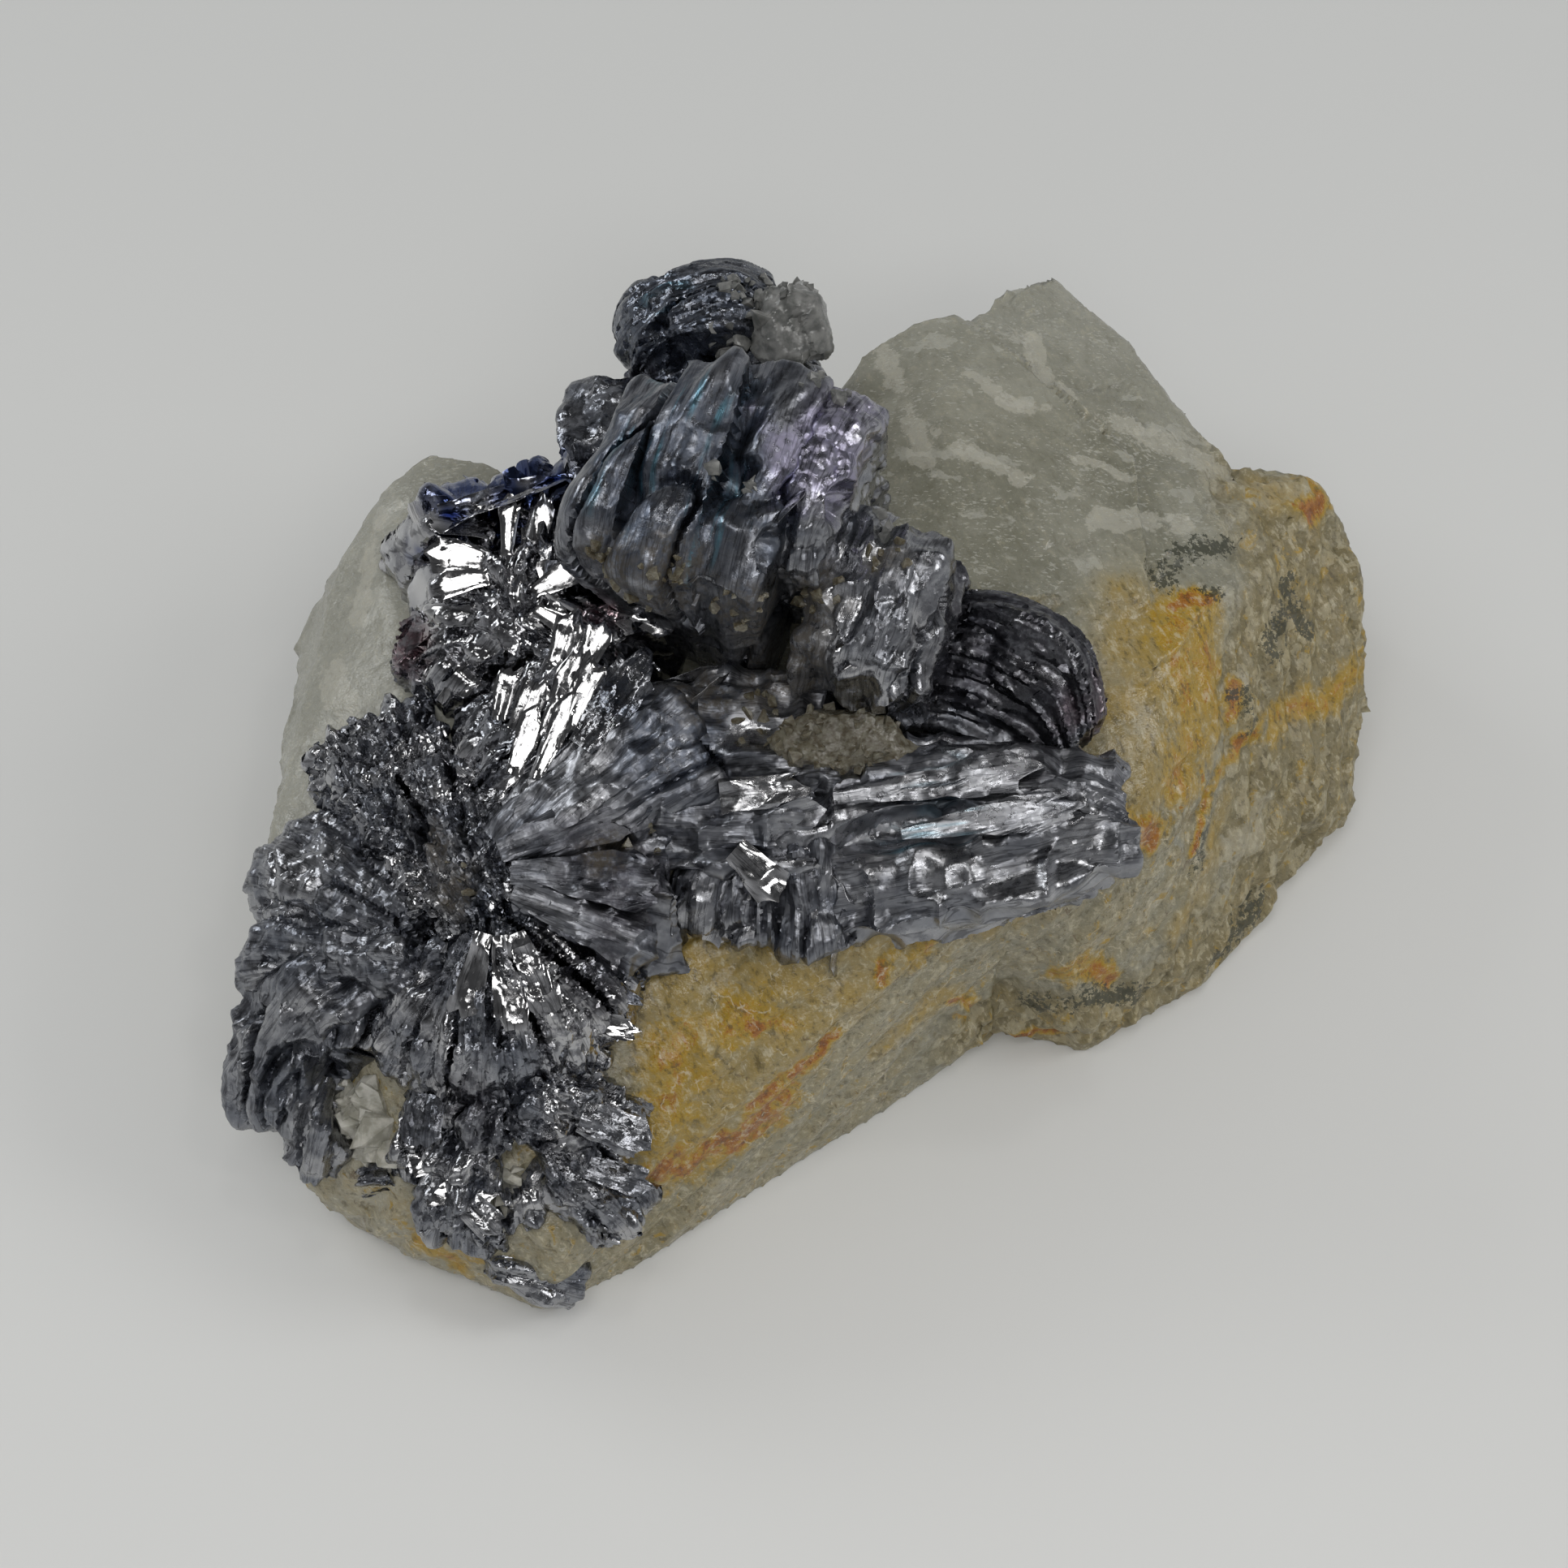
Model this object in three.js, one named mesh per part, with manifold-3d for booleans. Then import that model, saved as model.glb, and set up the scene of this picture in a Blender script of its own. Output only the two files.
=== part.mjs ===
// Molybdenite rosettes grown on a broken lump of milky quartz.
// Millimetres, +Z up. The lump stands on a flat cut underside, and -Y is its front.
// The shapes are set out in the lump's own field frame, then the whole group is moved so
// that the origin is the middle of its box, on the underside.

import * as THREE from 'three';
import { ConvexGeometry } from 'three/addons/geometries/ConvexGeometry.js';
import { mergeVertices } from 'three/addons/utils/BufferGeometryUtils.js';
import Module from 'manifold-3d';

const wasm = await Module();
wasm.setup();

// ---- driving dimensions ---------------------------------------------------------------

const GAP = 0.33; // clear space between a crystal and the quartz it grew on
const PLATEAU = 25; // height of the quartz shelf that carries the rosettes
const ROOT = -5; // the quartz blocks start here and are cut flat at 0
const QUARTZ_HEART = [1, 5, 9]; // the broken faces are all in sight of this inner point
const QUARTZ_REACH = [42, 40, 21]; // the lump's rough half-sizes, which space its facets
const QUARTZ_DETAIL = 9; // subdivisions of its facets
const QUARTZ_ROUGHNESS = 0.5; // how far the broken faces wander
const QUARTZ_GRAIN = 7; // size of the lumps of that roughness
const STATIONS = 5; // points along a leaf from its hinge end to its free end
const STEP = 0.07; // part of a leaf's thickness taken by the step down to the next
const RAGGED = 0.5; // how unequal the leaves of one pack are
const ENDS_REACH = 0.3; // part of a crest's length that is rounded off at each end
const SAME_POINT = 0.002; // points nearer than this are one point
const SHARPEST = 0.45; // least cosine used where a sharp edge is moved outward
const SWELL = 1.5; // a hull's corners move this much further out than its flats
const GROUND_SIZE = 200; // the block that cuts the lump flat
const GROUND_DEPTH = 40;

const QUARTZ_COLOUR = 0xa9a894;
const STAINED_QUARTZ_COLOUR = 0xb59a5c;
const MOLYBDENITE_COLOUR = 0x5d6271;

// ---- quartz ---------------------------------------------------------------------------
// Each block is the hull of its corner points; blocks overlap and are joined.

const QUARTZ_BLOCKS = {
  tallLobe: [
    [5.8, 34.9, 25.5], [10.2, 37.4, 26.5], [13.3, 38, 26.4], [17.5, 34, 27], [26, 26, 25],
    [27, 12, 25], [11.5, 11, 27.5], [4.5, 20, 26.4], [3.5, 30, 24.5], [12, 26, 28.2],
    [5, 38, 12], [14, 41.5, 10],
    [3, 36, ROOT], [14, 42, ROOT], [24, 16, ROOT], [2, 18, ROOT],
  ],
  backShoulder: [
    [10, 30, 26.6], [14.6, 37, 25.8], [17.3, 42, 25], [21.2, 43.8, 24], [27.1, 38, 22.5],
    [32.3, 31, 20.5], [35, 25.6, 21], [33.5, 16, 22.8], [25.6, 6, 24.5], [12, 14, 26.6],
    [18, 46, 12], [23, 47, 10], [35, 33, 6], [17, 46.5, ROOT], [24, 47, ROOT],
    [37, 32, ROOT], [34, 10, ROOT], [12, 12, ROOT],
  ],
  rightNose: [
    [35.5, 29.4, 18.5], [39.3, 29, 18.3], [42, 27.6, 18], [30, 22, 22.6], [33.2, 14.6, 22.5],
    [43.3, 23.7, 15], [44.9, 19.6, 12], [45.6, 14.7, 8], [43, 30, 5], [45, 25, 3],
    [37, 32.5, 8], [38, 32, ROOT], [44, 28, ROOT], [45.5, 16, ROOT], [26, 10, ROOT], [28, 26, ROOT],
  ],
  rightWall: [
    [32.8, 14.6, 22.3], [33.2, 6.3, 17.5], [38, 20, 19.5], [45.3, 13.8, 7], [44.2, 9, 5],
    [44.2, 7.4, 3.5], [42, 5.8, 3.5], [39, 3, 2.5], [31.5, -2.2, 10.5], [44.8, 15, ROOT],
    [43, 8, ROOT], [38, 4, ROOT], [33, -5, ROOT], [22, 4, ROOT], [24, 16, ROOT],
    [26, 12, 24.4],
  ],
  frontRight: [
    [25.6, 8, 24.5], [32.6, 14.4, 22.5], [32.9, 6.3, 17.5], [25.3, -3.2, 21.5], [30.6, -2.4, 10],
    [28.5, -7.2, 6], [18.6, -8.2, 22.5], [13.5, -8, 23], [37.1, -1, 1], [32.3, -6.5, 1],
    [23.1, -12.2, 1], [17.5, -10.6, 2], [38, 0, ROOT], [32.5, -6, ROOT], [23.1, -12, ROOT],
    [16, -10.6, ROOT], [6, 10, ROOT], [6, 10, PLATEAU],
  ],
  frontLeft: [
    [16.5, -8.8, 22.6], [13.3, -11.3, 22], [4.2, -13.8, 22.5], [-3, -15.5, 21], [-9.4, -18.8, 18],
    [-16, -21, 15], [12.4, -11.8, 17], [7.8, -13.6, 13.5], [-0.4, -18.8, 8.5],
    [-9.6, -25.6, 10.5], [-15, -29.5, 8],
    [13.8, -12.3, 1], [4.5, -18.1, 1], [-0.4, -20.5, 1], [-4, -23.7, 1], [-9.9, -28.8, 1],
    [14.5, -12, ROOT], [-9.9, -29, ROOT], [-16, -31, ROOT], [-14, 6, ROOT], [14, 8, ROOT],
    [-9, -6, PLATEAU], [8, 4, 26],
  ],
  frontFoot: [
    [-8, -17, 19], [-9.6, -25.8, 10.5], [-9.9, -28.8, 1], [-17.5, -32.9, 0.5],
    [-15.3, -32, 8], [-21.5, -31.2, 2], [-19.6, -29.4, 11.5], [-22.4, -23.2, 16.5],
    [-27.4, -29.4, 3], [-34.4, -26, 5.5], [-33.2, -25.2, 8], [-30.5, -21, 13],
    [-36.6, -20, 10], [-10, -29.2, ROOT], [-17.5, -33, ROOT], [-26, -28.4, ROOT],
    [-33.4, -23.4, ROOT], [-36, -16, ROOT], [-36.8, -12, 16], [-8, -4, ROOT], [-12, -10, 24],
  ],
  leftLobe: [
    [-38.6, -11.8, 15], [-37.4, -1.8, 17], [-37.2, 4.8, 16], [-36.1, 10.5, 16.5],
    [-37.2, 16.8, 14], [-33.8, 20.9, 18.5], [-30.2, 26.3, 20.5], [-27.1, 28.4, 21.5],
    [-22, 26.8, 22.3], [-29.8, 18.8, 21.5], [-22.2, 15.5, 22.5], [-31.3, 10.2, 20],
    [-27, -3.4, 22.5], [-14, -4, 24], [-12, 14, 24], [-35.4, -12, 17.5],
    [-37, -14, ROOT], [-36, 12, ROOT], [-35.5, 20, ROOT], [-29, 29, ROOT], [-20, 30, ROOT],
    [-10, -12, ROOT],
  ],
  core: [
    [-22, 24, 22.5], [-14, 25, 22], [-5, 28, 22.5], [3.8, 31, 24.3], [12, 14, 27],
    [20, 2, 24.5], [-20, -8, 23.5], [-8, -10, 24], [-20, 28.5, 8], [-5, 32.5, 8], [5, 35, 8],
    [-22, 30, ROOT], [6, 36, ROOT], [22, 4, ROOT], [-22, -10, ROOT],
  ],
};

// ---- molybdenite ----------------------------------------------------------------------
// One pack of leaves. Its crest runs from the point `from` to the point `to` along the upper
// edges of the leaves; `wide` is the thickness of the pack at those two ends and `deep` how
// far the leaves reach down from the crest. `lean` tips the leaves about the crest line, in
// degrees. `arch` lifts the middle of the crest, `bow` bends it sideways, `dome` lowers the
// outer leaves, `ends` rounds off the crest's two ends, `tuck` draws in the lower corners, and
// `foot` is the thickness below over that above. `leaves` is how many steps the pack shows.

const PACKS = {
  tower: [
    { from: [-13, 4.2, 45.4], to: [-8.2, 15.6, 48.5], wide: [4.8, 5], deep: 23, leaves: 3,
      lean: -6, ends: [1.4, 2], tuck: [1, 3], dome: 1.2, foot: 0.8 },
    { from: [-9.2, 1.6, 46], to: [-4.4, 16.4, 49.8], wide: [5.8, 5.6], deep: 25, leaves: 4,
      lean: -3, ends: [1.6, 1.5], tuck: [1.4, 3], dome: 0.8, foot: 0.85 },
    { from: [-4.8, 0.4, 46], to: [0.2, 16.4, 49.8], wide: [5.8, 6], deep: 25, leaves: 4,
      lean: 2, ends: [1.8, 2], tuck: [1.6, 4], dome: 0.8, foot: 0.85 },
    { from: [-0.8, 3, 44], to: [4, 14.6, 48.4], wide: [5.2, 4.8], deep: 20, leaves: 3,
      lean: -2, ends: [2.4, 2.5], tuck: [1.6, 4], arch: 1, dome: 1.5, foot: 0.6 },
  ],
  rightBoss: [
    { from: [2.2, -2.6, 36], to: [6.6, 7.6, 42.5], wide: [8, 7.5], deep: 17, leaves: 4,
      lean: -8, ends: [4, 2], tuck: [1, 3], arch: 1, dome: 1.5, bow: 0.8, foot: 0.8 },
    { from: [8.4, -3, 35], to: [9, 6.8, 40.5], wide: [4, 4], deep: 15, leaves: 2,
      lean: 14, ends: [3, 2], tuck: [1, 2], dome: 0.8, foot: 0.9 },
  ],
  backRosette: [
    { from: [-12.8, 30.4, 34], to: [-1.8, 32.4, 37.6], wide: [7, 6.5], deep: 15, leaves: 4,
      lean: -8, arch: 1.6, ends: [2, 2], tuck: [2, 2], dome: 1.2, foot: 0.8 },
    { from: [-11.6, 25.6, 33], to: [2.4, 27.6, 34.5], wide: [5, 5], deep: 13, leaves: 3,
      lean: 10, ends: [1.5, 2], dome: 0.6 },
  ],
  edgewiseStack: [
    { from: [-16.4, 25.6, 28.5], to: [-14, 12, 28.5], wide: [9, 9], deep: 10, leaves: 4,
      lean: 90, ends: [1.5, 1], foot: 0.9 },
  ],
  mirrorRosette: [
    { from: [-18, 9.4, 29], to: [-25.8, 14, 27.5], wide: [4, 8], deep: 9, leaves: 2,
      lean: 18, ends: [0, 1.5], dome: 1, foot: 1.1 },
    { from: [-18.6, 9, 29], to: [-23.4, 20, 30], wide: [4, 8], deep: 9, leaves: 3,
      lean: 12, ends: [0, 1.5], dome: 1, foot: 1.1 },
    { from: [-18.4, 9, 30], to: [-16, 20, 31.5], wide: [4, 8], deep: 10, leaves: 3,
      lean: -8, ends: [0, 1.5], dome: 1, foot: 1.1 },
    { from: [-18.6, 10, 29], to: [-24.4, 4.6, 26.5], wide: [4, 7], deep: 8, leaves: 2,
      lean: -14, ends: [0, 1.5], dome: 1, foot: 1.1 },
    { from: [-18.8, 10, 29], to: [-12.9, 4.4, 31], wide: [4, 8], deep: 10, leaves: 2,
      lean: 20, ends: [0, 1.5], dome: 1, foot: 1.1 },
  ],
  leftLump: [
    { from: [-23.4, 7.2, 26.5], to: [-27.7, 10, 24.5], wide: [5, 4.5], deep: 6, leaves: 2,
      ends: [0, 1.5], dome: 1.2, foot: 1.1 },
  ],
  foilZone: [
    { from: [-13.4, 4.4, 31], to: [-23.8, 0.2, 26.5], wide: [7, 8], deep: 8, leaves: 3,
      lean: 25, ends: [0, 1.5], dome: 0.8 },
    { from: [-12, 0.6, 31], to: [-22, -6, 27.5], wide: [7, 7], deep: 8, leaves: 3,
      lean: -15, ends: [0, 1], dome: 0.6 },
  ],
  greyRidge: [
    { from: [-21, -10.2, 28.6], to: [-7.6, 0.4, 32], wide: [5, 6], deep: 9, leaves: 3,
      lean: -12, ends: [1, 0], dome: 0.8, foot: 1.1 },
    { from: [-18.8, -11.4, 28.4], to: [-5.6, -4, 31], wide: [4, 5], deep: 8, leaves: 2,
      lean: 18, ends: [1, 0], dome: 0.6, foot: 1.1 },
  ],
  middleRidge: [
    { from: [-12, -1.8, 30.2], to: [3.2, -1.6, 31], wide: [10, 9], deep: 9, leaves: 3,
      lean: 6, dome: 1, foot: 1.1 },
    { from: [-9.6, -8, 28.8], to: [2.4, -8.4, 29.6], wide: [6, 6], deep: 8, leaves: 3,
      lean: 22, dome: 0.8, foot: 1.1 },
  ],
  lathBundle: [
    { from: [-1, -5.8, 28.4], to: [23.8, -5.2, 30.6], wide: [7, 5], deep: 9, leaves: 4,
      lean: -8, arch: 1.4, ends: [1, 1.5], tuck: [0, 4], dome: 1, foot: 0.9, bow: -1 },
    { from: [2.2, -11.6, 26.4], to: [24, -8.4, 29.6], wide: [8, 5], deep: 9, leaves: 4,
      lean: 12, arch: 1.2, ends: [1, 1.5], tuck: [0, 5], dome: 1.2, foot: 0.85, bow: 0.8 },
  ],
  darkPetal: [
    { from: [10.4, 9.4, 31], to: [23.4, 1.8, 31], wide: [4, 3.5], deep: 12.5, leaves: 3,
      lean: -50, ends: [1.5, 2.5], tuck: [1, 4], arch: 2, dome: 0.4 },
  ],
  fanCentre: [
    { from: [-20.6, -14.4, 27.6], to: [-30, 3.2, 25], wide: [6, 9], deep: 8, leaves: 3,
      ends: [0, 1], dome: 1.2, foot: 1.1 },
    { from: [-20, -13.4, 28], to: [-24.4, -2.4, 27.4], wide: [5, 8], deep: 8, leaves: 2,
      lean: -15, dome: 1, foot: 1.1 },
  ],
  leftLobe: [
    { from: [-26, -13, 26], to: [-36, -3.8, 21.8], wide: [5, 10], deep: 8, leaves: 3,
      ends: [0, 1.5], dome: 1.5, foot: 1.1 },
    { from: [-26.4, -15.4, 25.4], to: [-38.6, -11, 19.6], wide: [5, 8], deep: 8, leaves: 3,
      lean: -8, ends: [0, 1.5], dome: 1.2, foot: 1.1 },
  ],
  lowerLeftBundle: [
    { from: [-31.8, -14.6, 22], to: [-39.6, -22.6, 11], wide: [8, 5.5], deep: 8, leaves: 4,
      lean: 12, arch: 1.8, ends: [1, 1.5], dome: 1.4, bow: 0.8 },
    { from: [-29.6, -16, 21], to: [-34.4, -26.6, 8.5], wide: [7, 5], deep: 7, leaves: 3,
      lean: -12, arch: 1.4, ends: [1, 1], dome: 1.2 },
  ],
  bottomFan: [
    { from: [-20.6, -15, 27], to: [-29, -21, 17.5], wide: [3, 8], deep: 7, leaves: 3,
      arch: 1, ends: [0, 1.5], dome: 1, foot: 1.1 },
    { from: [-20.2, -15.4, 27.4], to: [-22.8, -25.4, 19], wide: [3, 8], deep: 8, leaves: 3,
      arch: 1.2, ends: [0, 1.5], dome: 1, foot: 1.1 },
    { from: [-19.4, -15.2, 27.4], to: [-15.6, -24, 20], wide: [3, 8], deep: 8, leaves: 3,
      arch: 1.2, ends: [0, 1.5], dome: 1, foot: 1.1 },
    { from: [-18.6, -14.2, 27.4], to: [-10.2, -19.4, 21], wide: [3, 8], deep: 7, leaves: 3,
      arch: 1, ends: [0, 1.5], dome: 1, foot: 1.1 },
  ],
  centrePlates: [
    { from: [-18.4, -11.8, 28.4], to: [-7.8, -9.6, 28.6], wide: [5, 7], deep: 8, leaves: 2,
      lean: -14, ends: [0, 1], dome: 0.8, foot: 1.1 },
    { from: [-17.6, -13, 28], to: [-8.8, -15.8, 25], wide: [4, 6], deep: 8, leaves: 2,
      lean: 22, ends: [0, 1], dome: 0.8, foot: 1.1 },
  ],
  edgePlates: [
    { from: [-4.8, -8.4, 28], to: [-6.4, -14, 24.4], wide: [4, 5], deep: 6, leaves: 2,
      ends: [0, 1], dome: 0.8 },
    { from: [-1.4, -8.6, 28], to: [-2, -15.6, 24.6], wide: [4, 4.5], deep: 6, leaves: 2,
      ends: [0, 1], dome: 0.8 },
    { from: [2, -9.4, 28], to: [2.8, -16.2, 24.6], wide: [4, 6], deep: 6, leaves: 2,
      ends: [0, 1], dome: 0.8 },
  ],
  footRosette: [
    { from: [-25.6, -22, 18], to: [-26.2, -27.6, 11], wide: [4, 4], deep: 6, leaves: 2,
      ends: [0, 1], dome: 0.8 },
    { from: [-21, -24.6, 19], to: [-23.8, -31.8, 8.5], wide: [5, 7], deep: 6, leaves: 3,
      arch: 1, ends: [0, 1.5], dome: 1 },
    { from: [-20, -24.6, 19], to: [-18.6, -31, 10], wide: [5, 6], deep: 6, leaves: 2,
      arch: 1, ends: [0, 1], dome: 1 },
    { from: [-17, -23, 20], to: [-9.4, -25.2, 15], wide: [5, 7], deep: 7, leaves: 3,
      ends: [0, 1], dome: 1 },
    { from: [-18, -25.8, 18], to: [-10, -29.6, 10.4], wide: [4, 6], deep: 6, leaves: 2,
      ends: [0, 1], dome: 1 },
  ],
};

// Crystals that grew on the quartz by themselves, apart from the rosettes.
const LOOSE_CRYSTALS = {
  foot_crystal: { from: [-20, -32.2, 6.8], to: [-14.4, -32.6, 3.6], wide: [2.5, 3.5], deep: 3,
    leaves: 2, lean: 30, ends: [0.8, 0.8], dome: 0.4 },
  left_crystal: { from: [-31.4, -26.4, 9.8], to: [-28.2, -26.4, 11.2], wide: [1.8, 2.2], deep: 3.2,
    leaves: 2, lean: 10, ends: [0.6, 0.4], dome: 0.3 },
};

// Quartz that grew between the leaves: a clear knob on the back rosette and a stained filling
// between the right boss and the lath bundle.
const KNOB = [
  [-2.6, 27.4, 35], [1, 26.2, 36], [3.6, 27.6, 35.4], [3.4, 30.8, 36.4], [0.6, 32.4, 36.6],
  [-2.2, 31.4, 37], [-1.4, 28.6, 38.4], [1.6, 29, 38.4], [2.4, 30.6, 38], [0, 30.2, 39.2],
  [0.4, 28, 32], [1.8, 31, 32],
];
const POCKET = [
  [-1.2, -3.4, 31], [2.6, -5, 31], [8, -4.6, 30.6], [9.8, -2.8, 30], [6, -1.6, 32.6],
  [1, -1.4, 32.6], [-0.6, -2.6, 28], [3, -4.8, 28], [9, -3.6, 28], [5, 0, 29],
];

// ---- small tools ----------------------------------------------------------------------

const UP = new THREE.Vector3(0, 0, 1);

/** Repeatable number from 0 to 1 for three whole numbers. */
function hash(i, j, k) {
  let h = Math.imul(i, 374761393) + Math.imul(j, 668265263) + Math.imul(k, 2147483647);
  h = Math.imul(h ^ (h >>> 13), 1274126177);
  return ((h ^ (h >>> 16)) >>> 0) / 4294967296;
}

/** Smooth lattice noise from -1 to 1 at a point. */
function noise(point, size, salt) {
  const x = point.x / size;
  const y = point.y / size;
  const z = point.z / size;
  const [i, j, k] = [Math.floor(x), Math.floor(y), Math.floor(z)];
  const ease = (t) => t * t * (3 - 2 * t);
  const [u, v, w] = [ease(x - i), ease(y - j), ease(z - k)];
  let total = 0;
  for (const [a, b, c] of [[0, 0, 0], [1, 0, 0], [0, 1, 0], [1, 1, 0],
    [0, 0, 1], [1, 0, 1], [0, 1, 1], [1, 1, 1]]) {
    const weight = (a ? u : 1 - u) * (b ? v : 1 - v) * (c ? w : 1 - w);
    total += weight * hash(i + a + salt, j + b, k + c);
  }
  return 2 * total - 1;
}

/** A mesh as plain lists: points as vectors, faces as triples of point numbers. */
function listsOf(positions, faceIndex) {
  const points = [];
  for (let n = 0; n < positions.length; n += 3) {
    points.push(new THREE.Vector3(positions[n], positions[n + 1], positions[n + 2]));
  }
  const faces = [];
  for (let n = 0; n < faceIndex.length; n += 3) {
    faces.push([faceIndex[n], faceIndex[n + 1], faceIndex[n + 2]]);
  }
  return { points, faces };
}

function solidFromLists({ points, faces }) {
  const vertProperties = new Float32Array(points.flatMap((point) => point.toArray()));
  const triVerts = new Uint32Array(faces.flat());
  return new wasm.Manifold(new wasm.Mesh({ numProp: 3, vertProperties, triVerts }));
}

function listsFromSolid(solid) {
  const mesh = solid.getMesh();
  return listsOf(mesh.vertProperties, mesh.triVerts);
}

function solidFromGeometry(geometry) {
  const bare = new THREE.BufferGeometry();
  bare.setAttribute('position', geometry.getAttribute('position'));
  if (geometry.index) {
    bare.setIndex(geometry.index);
  }
  const merged = mergeVertices(bare, 1e-4);
  return solidFromLists(listsOf(merged.getAttribute('position').array, merged.index.array));
}

const hullOf = (corners) => solidFromGeometry(
  new ConvexGeometry(corners.map((corner) => new THREE.Vector3(...corner))));

const joined = (solids) => solids.reduce((sum, solid) => sum.add(solid));

/** Each point's outward direction, long enough to move all faces round it by about one. */
function outwardOf({ points, faces }) {
  const normals = faces.map(([a, b, c]) => {
    const ab = points[b].clone().sub(points[a]);
    const ac = points[c].clone().sub(points[a]);
    return ab.cross(ac);
  });
  const sums = points.map(() => new THREE.Vector3());
  faces.forEach((face, n) => face.forEach((point) => sums[point].add(normals[n])));
  const outward = sums.map((sum) => sum.clone().normalize());
  const least = points.map(() => 1);
  faces.forEach((face, n) => face.forEach((point) => {
    const unit = normals[n].clone().normalize();
    least[point] = Math.min(least[point], unit.dot(outward[point]));
  }));
  return outward.map((direction, n) => direction.multiplyScalar(1 / Math.max(SHARPEST, least[n])));
}

/** The one largest connected surface; slivers cut loose from it are left out. */
function largestBody({ points, faces }) {
  const owner = points.map((_, n) => n);
  const find = (n) => {
    let root = n;
    while (owner[root] !== root) {
      root = owner[root];
    }
    owner[n] = root;
    return root;
  };
  for (const [a, b, c] of faces) {
    owner[find(a)] = find(b);
    owner[find(b)] = find(c);
  }
  const volumes = new Map();
  for (const [a, b, c] of faces) {
    const volume = points[a].dot(points[b].clone().cross(points[c])) / 6;
    volumes.set(find(a), (volumes.get(find(a)) ?? 0) + volume);
  }
  const [best] = [...volumes].sort((one, two) => two[1] - one[1])[0];
  return { points, faces: faces.filter(([a]) => find(a) === best) };
}

function meshOf(name, lists, material) {
  const geometry = new THREE.BufferGeometry();
  const positions = lists.faces.flatMap((face) => face.flatMap((n) => lists.points[n].toArray()));
  geometry.setAttribute('position', new THREE.Float32BufferAttribute(positions, 3));
  const merged = mergeVertices(geometry, SAME_POINT);
  merged.computeVertexNormals();
  const mesh = new THREE.Mesh(merged, material);
  mesh.name = name;
  return mesh;
}

// ---- the quartz lump ------------------------------------------------------------------

/** Flat faces of a block, each as an outward direction and its distance from the heart. */
function facesOf(corners, heart) {
  const hull = new ConvexGeometry(corners.map((corner) => new THREE.Vector3(...corner)));
  const position = hull.getAttribute('position');
  const faces = [];
  for (let n = 0; n < position.count; n += 3) {
    const [a, b, c] = [0, 1, 2].map((k) => new THREE.Vector3().fromBufferAttribute(position, n + k));
    const outward = b.clone().sub(a).cross(c.clone().sub(a)).normalize();
    faces.push({ outward, distance: outward.dot(a.sub(heart)) });
  }
  return faces;
}

/** How far from the heart a ray leaves a block, or 0 where it misses the block. */
function reachThrough(faces, ray) {
  let enter = 0;
  let leave = Infinity;
  for (const { outward, distance } of faces) {
    const slope = outward.dot(ray);
    if (slope > 1e-9) {
      leave = Math.min(leave, distance / slope);
    } else if (slope < -1e-9) {
      enter = Math.max(enter, distance / slope);
    } else if (distance < 0) {
      return 0;
    }
  }
  return leave > enter ? leave : 0;
}

/** The broken outside of the joined blocks: an even net of facets, drawn to their corners. */
function brokenSurface() {
  const heart = new THREE.Vector3(...QUARTZ_HEART);
  const corners = Object.values(QUARTZ_BLOCKS).flat().map((corner) => new THREE.Vector3(...corner));
  const blocks = Object.values(QUARTZ_BLOCKS).map((block) => facesOf(block, heart));
  const reachAlong = (ray) => Math.max(...blocks.map((faces) => reachThrough(faces, ray)));
  const net = new THREE.IcosahedronGeometry(1, QUARTZ_DETAIL);
  const bare = new THREE.BufferGeometry().setAttribute('position', net.getAttribute('position'));
  const merged = mergeVertices(bare, 1e-5);
  const lists = listsOf(merged.getAttribute('position').array, merged.index.array);
  const half = new THREE.Vector3(...QUARTZ_REACH);
  const rays = lists.points.map((direction) => direction.clone().multiply(half).normalize());
  const points = rays.map((ray) => {
    const point = heart.clone().addScaledVector(ray, reachAlong(ray));
    const amount = QUARTZ_ROUGHNESS * noise(point, QUARTZ_GRAIN, 11)
      + 0.5 * QUARTZ_ROUGHNESS * noise(point, QUARTZ_GRAIN / 2.5, 29);
    return point.addScaledVector(ray, amount);
  });
  for (const corner of corners) {
    const arm = corner.clone().sub(heart);
    const ray = arm.clone().normalize();
    if (reachAlong(ray) < arm.length() * 1.005) {
      const nearness = rays.map((other) => other.dot(ray));
      points[nearness.indexOf(Math.max(...nearness))].copy(corner);
    }
  }
  return { points, faces: lists.faces };
}

function moved(lists, distance) {
  const outward = outwardOf(lists);
  const points = lists.points.map((point, n) => point.clone().addScaledVector(outward[n], distance));
  return { points, faces: lists.faces };
}

const broken = brokenSurface();
const ground = new THREE.BoxGeometry(GROUND_SIZE, GROUND_SIZE, GROUND_DEPTH)
  .translate(0, 0, -GROUND_DEPTH / 2);
const quartz = solidFromLists(broken).subtract(solidFromGeometry(ground));
const quartzWithGap = solidFromLists(moved(broken, GAP));

// ---- the leaves -----------------------------------------------------------------------

/** The pack's own axes: along the crest, up through the leaves, and across the leaves. */
function axesOf(pack) {
  const from = new THREE.Vector3(...pack.from);
  const along = new THREE.Vector3(...pack.to).sub(from);
  const length = along.length();
  along.normalize();
  const upright = UP.clone().addScaledVector(along, -UP.dot(along)).normalize();
  const side = new THREE.Vector3().crossVectors(along, upright);
  const lean = THREE.MathUtils.degToRad(pack.lean ?? 0);
  const high = upright.clone().multiplyScalar(Math.cos(lean)).addScaledVector(side, Math.sin(lean));
  const across = side.multiplyScalar(Math.cos(lean)).addScaledVector(upright, -Math.sin(lean));
  return { from, along, high, across, length };
}

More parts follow.
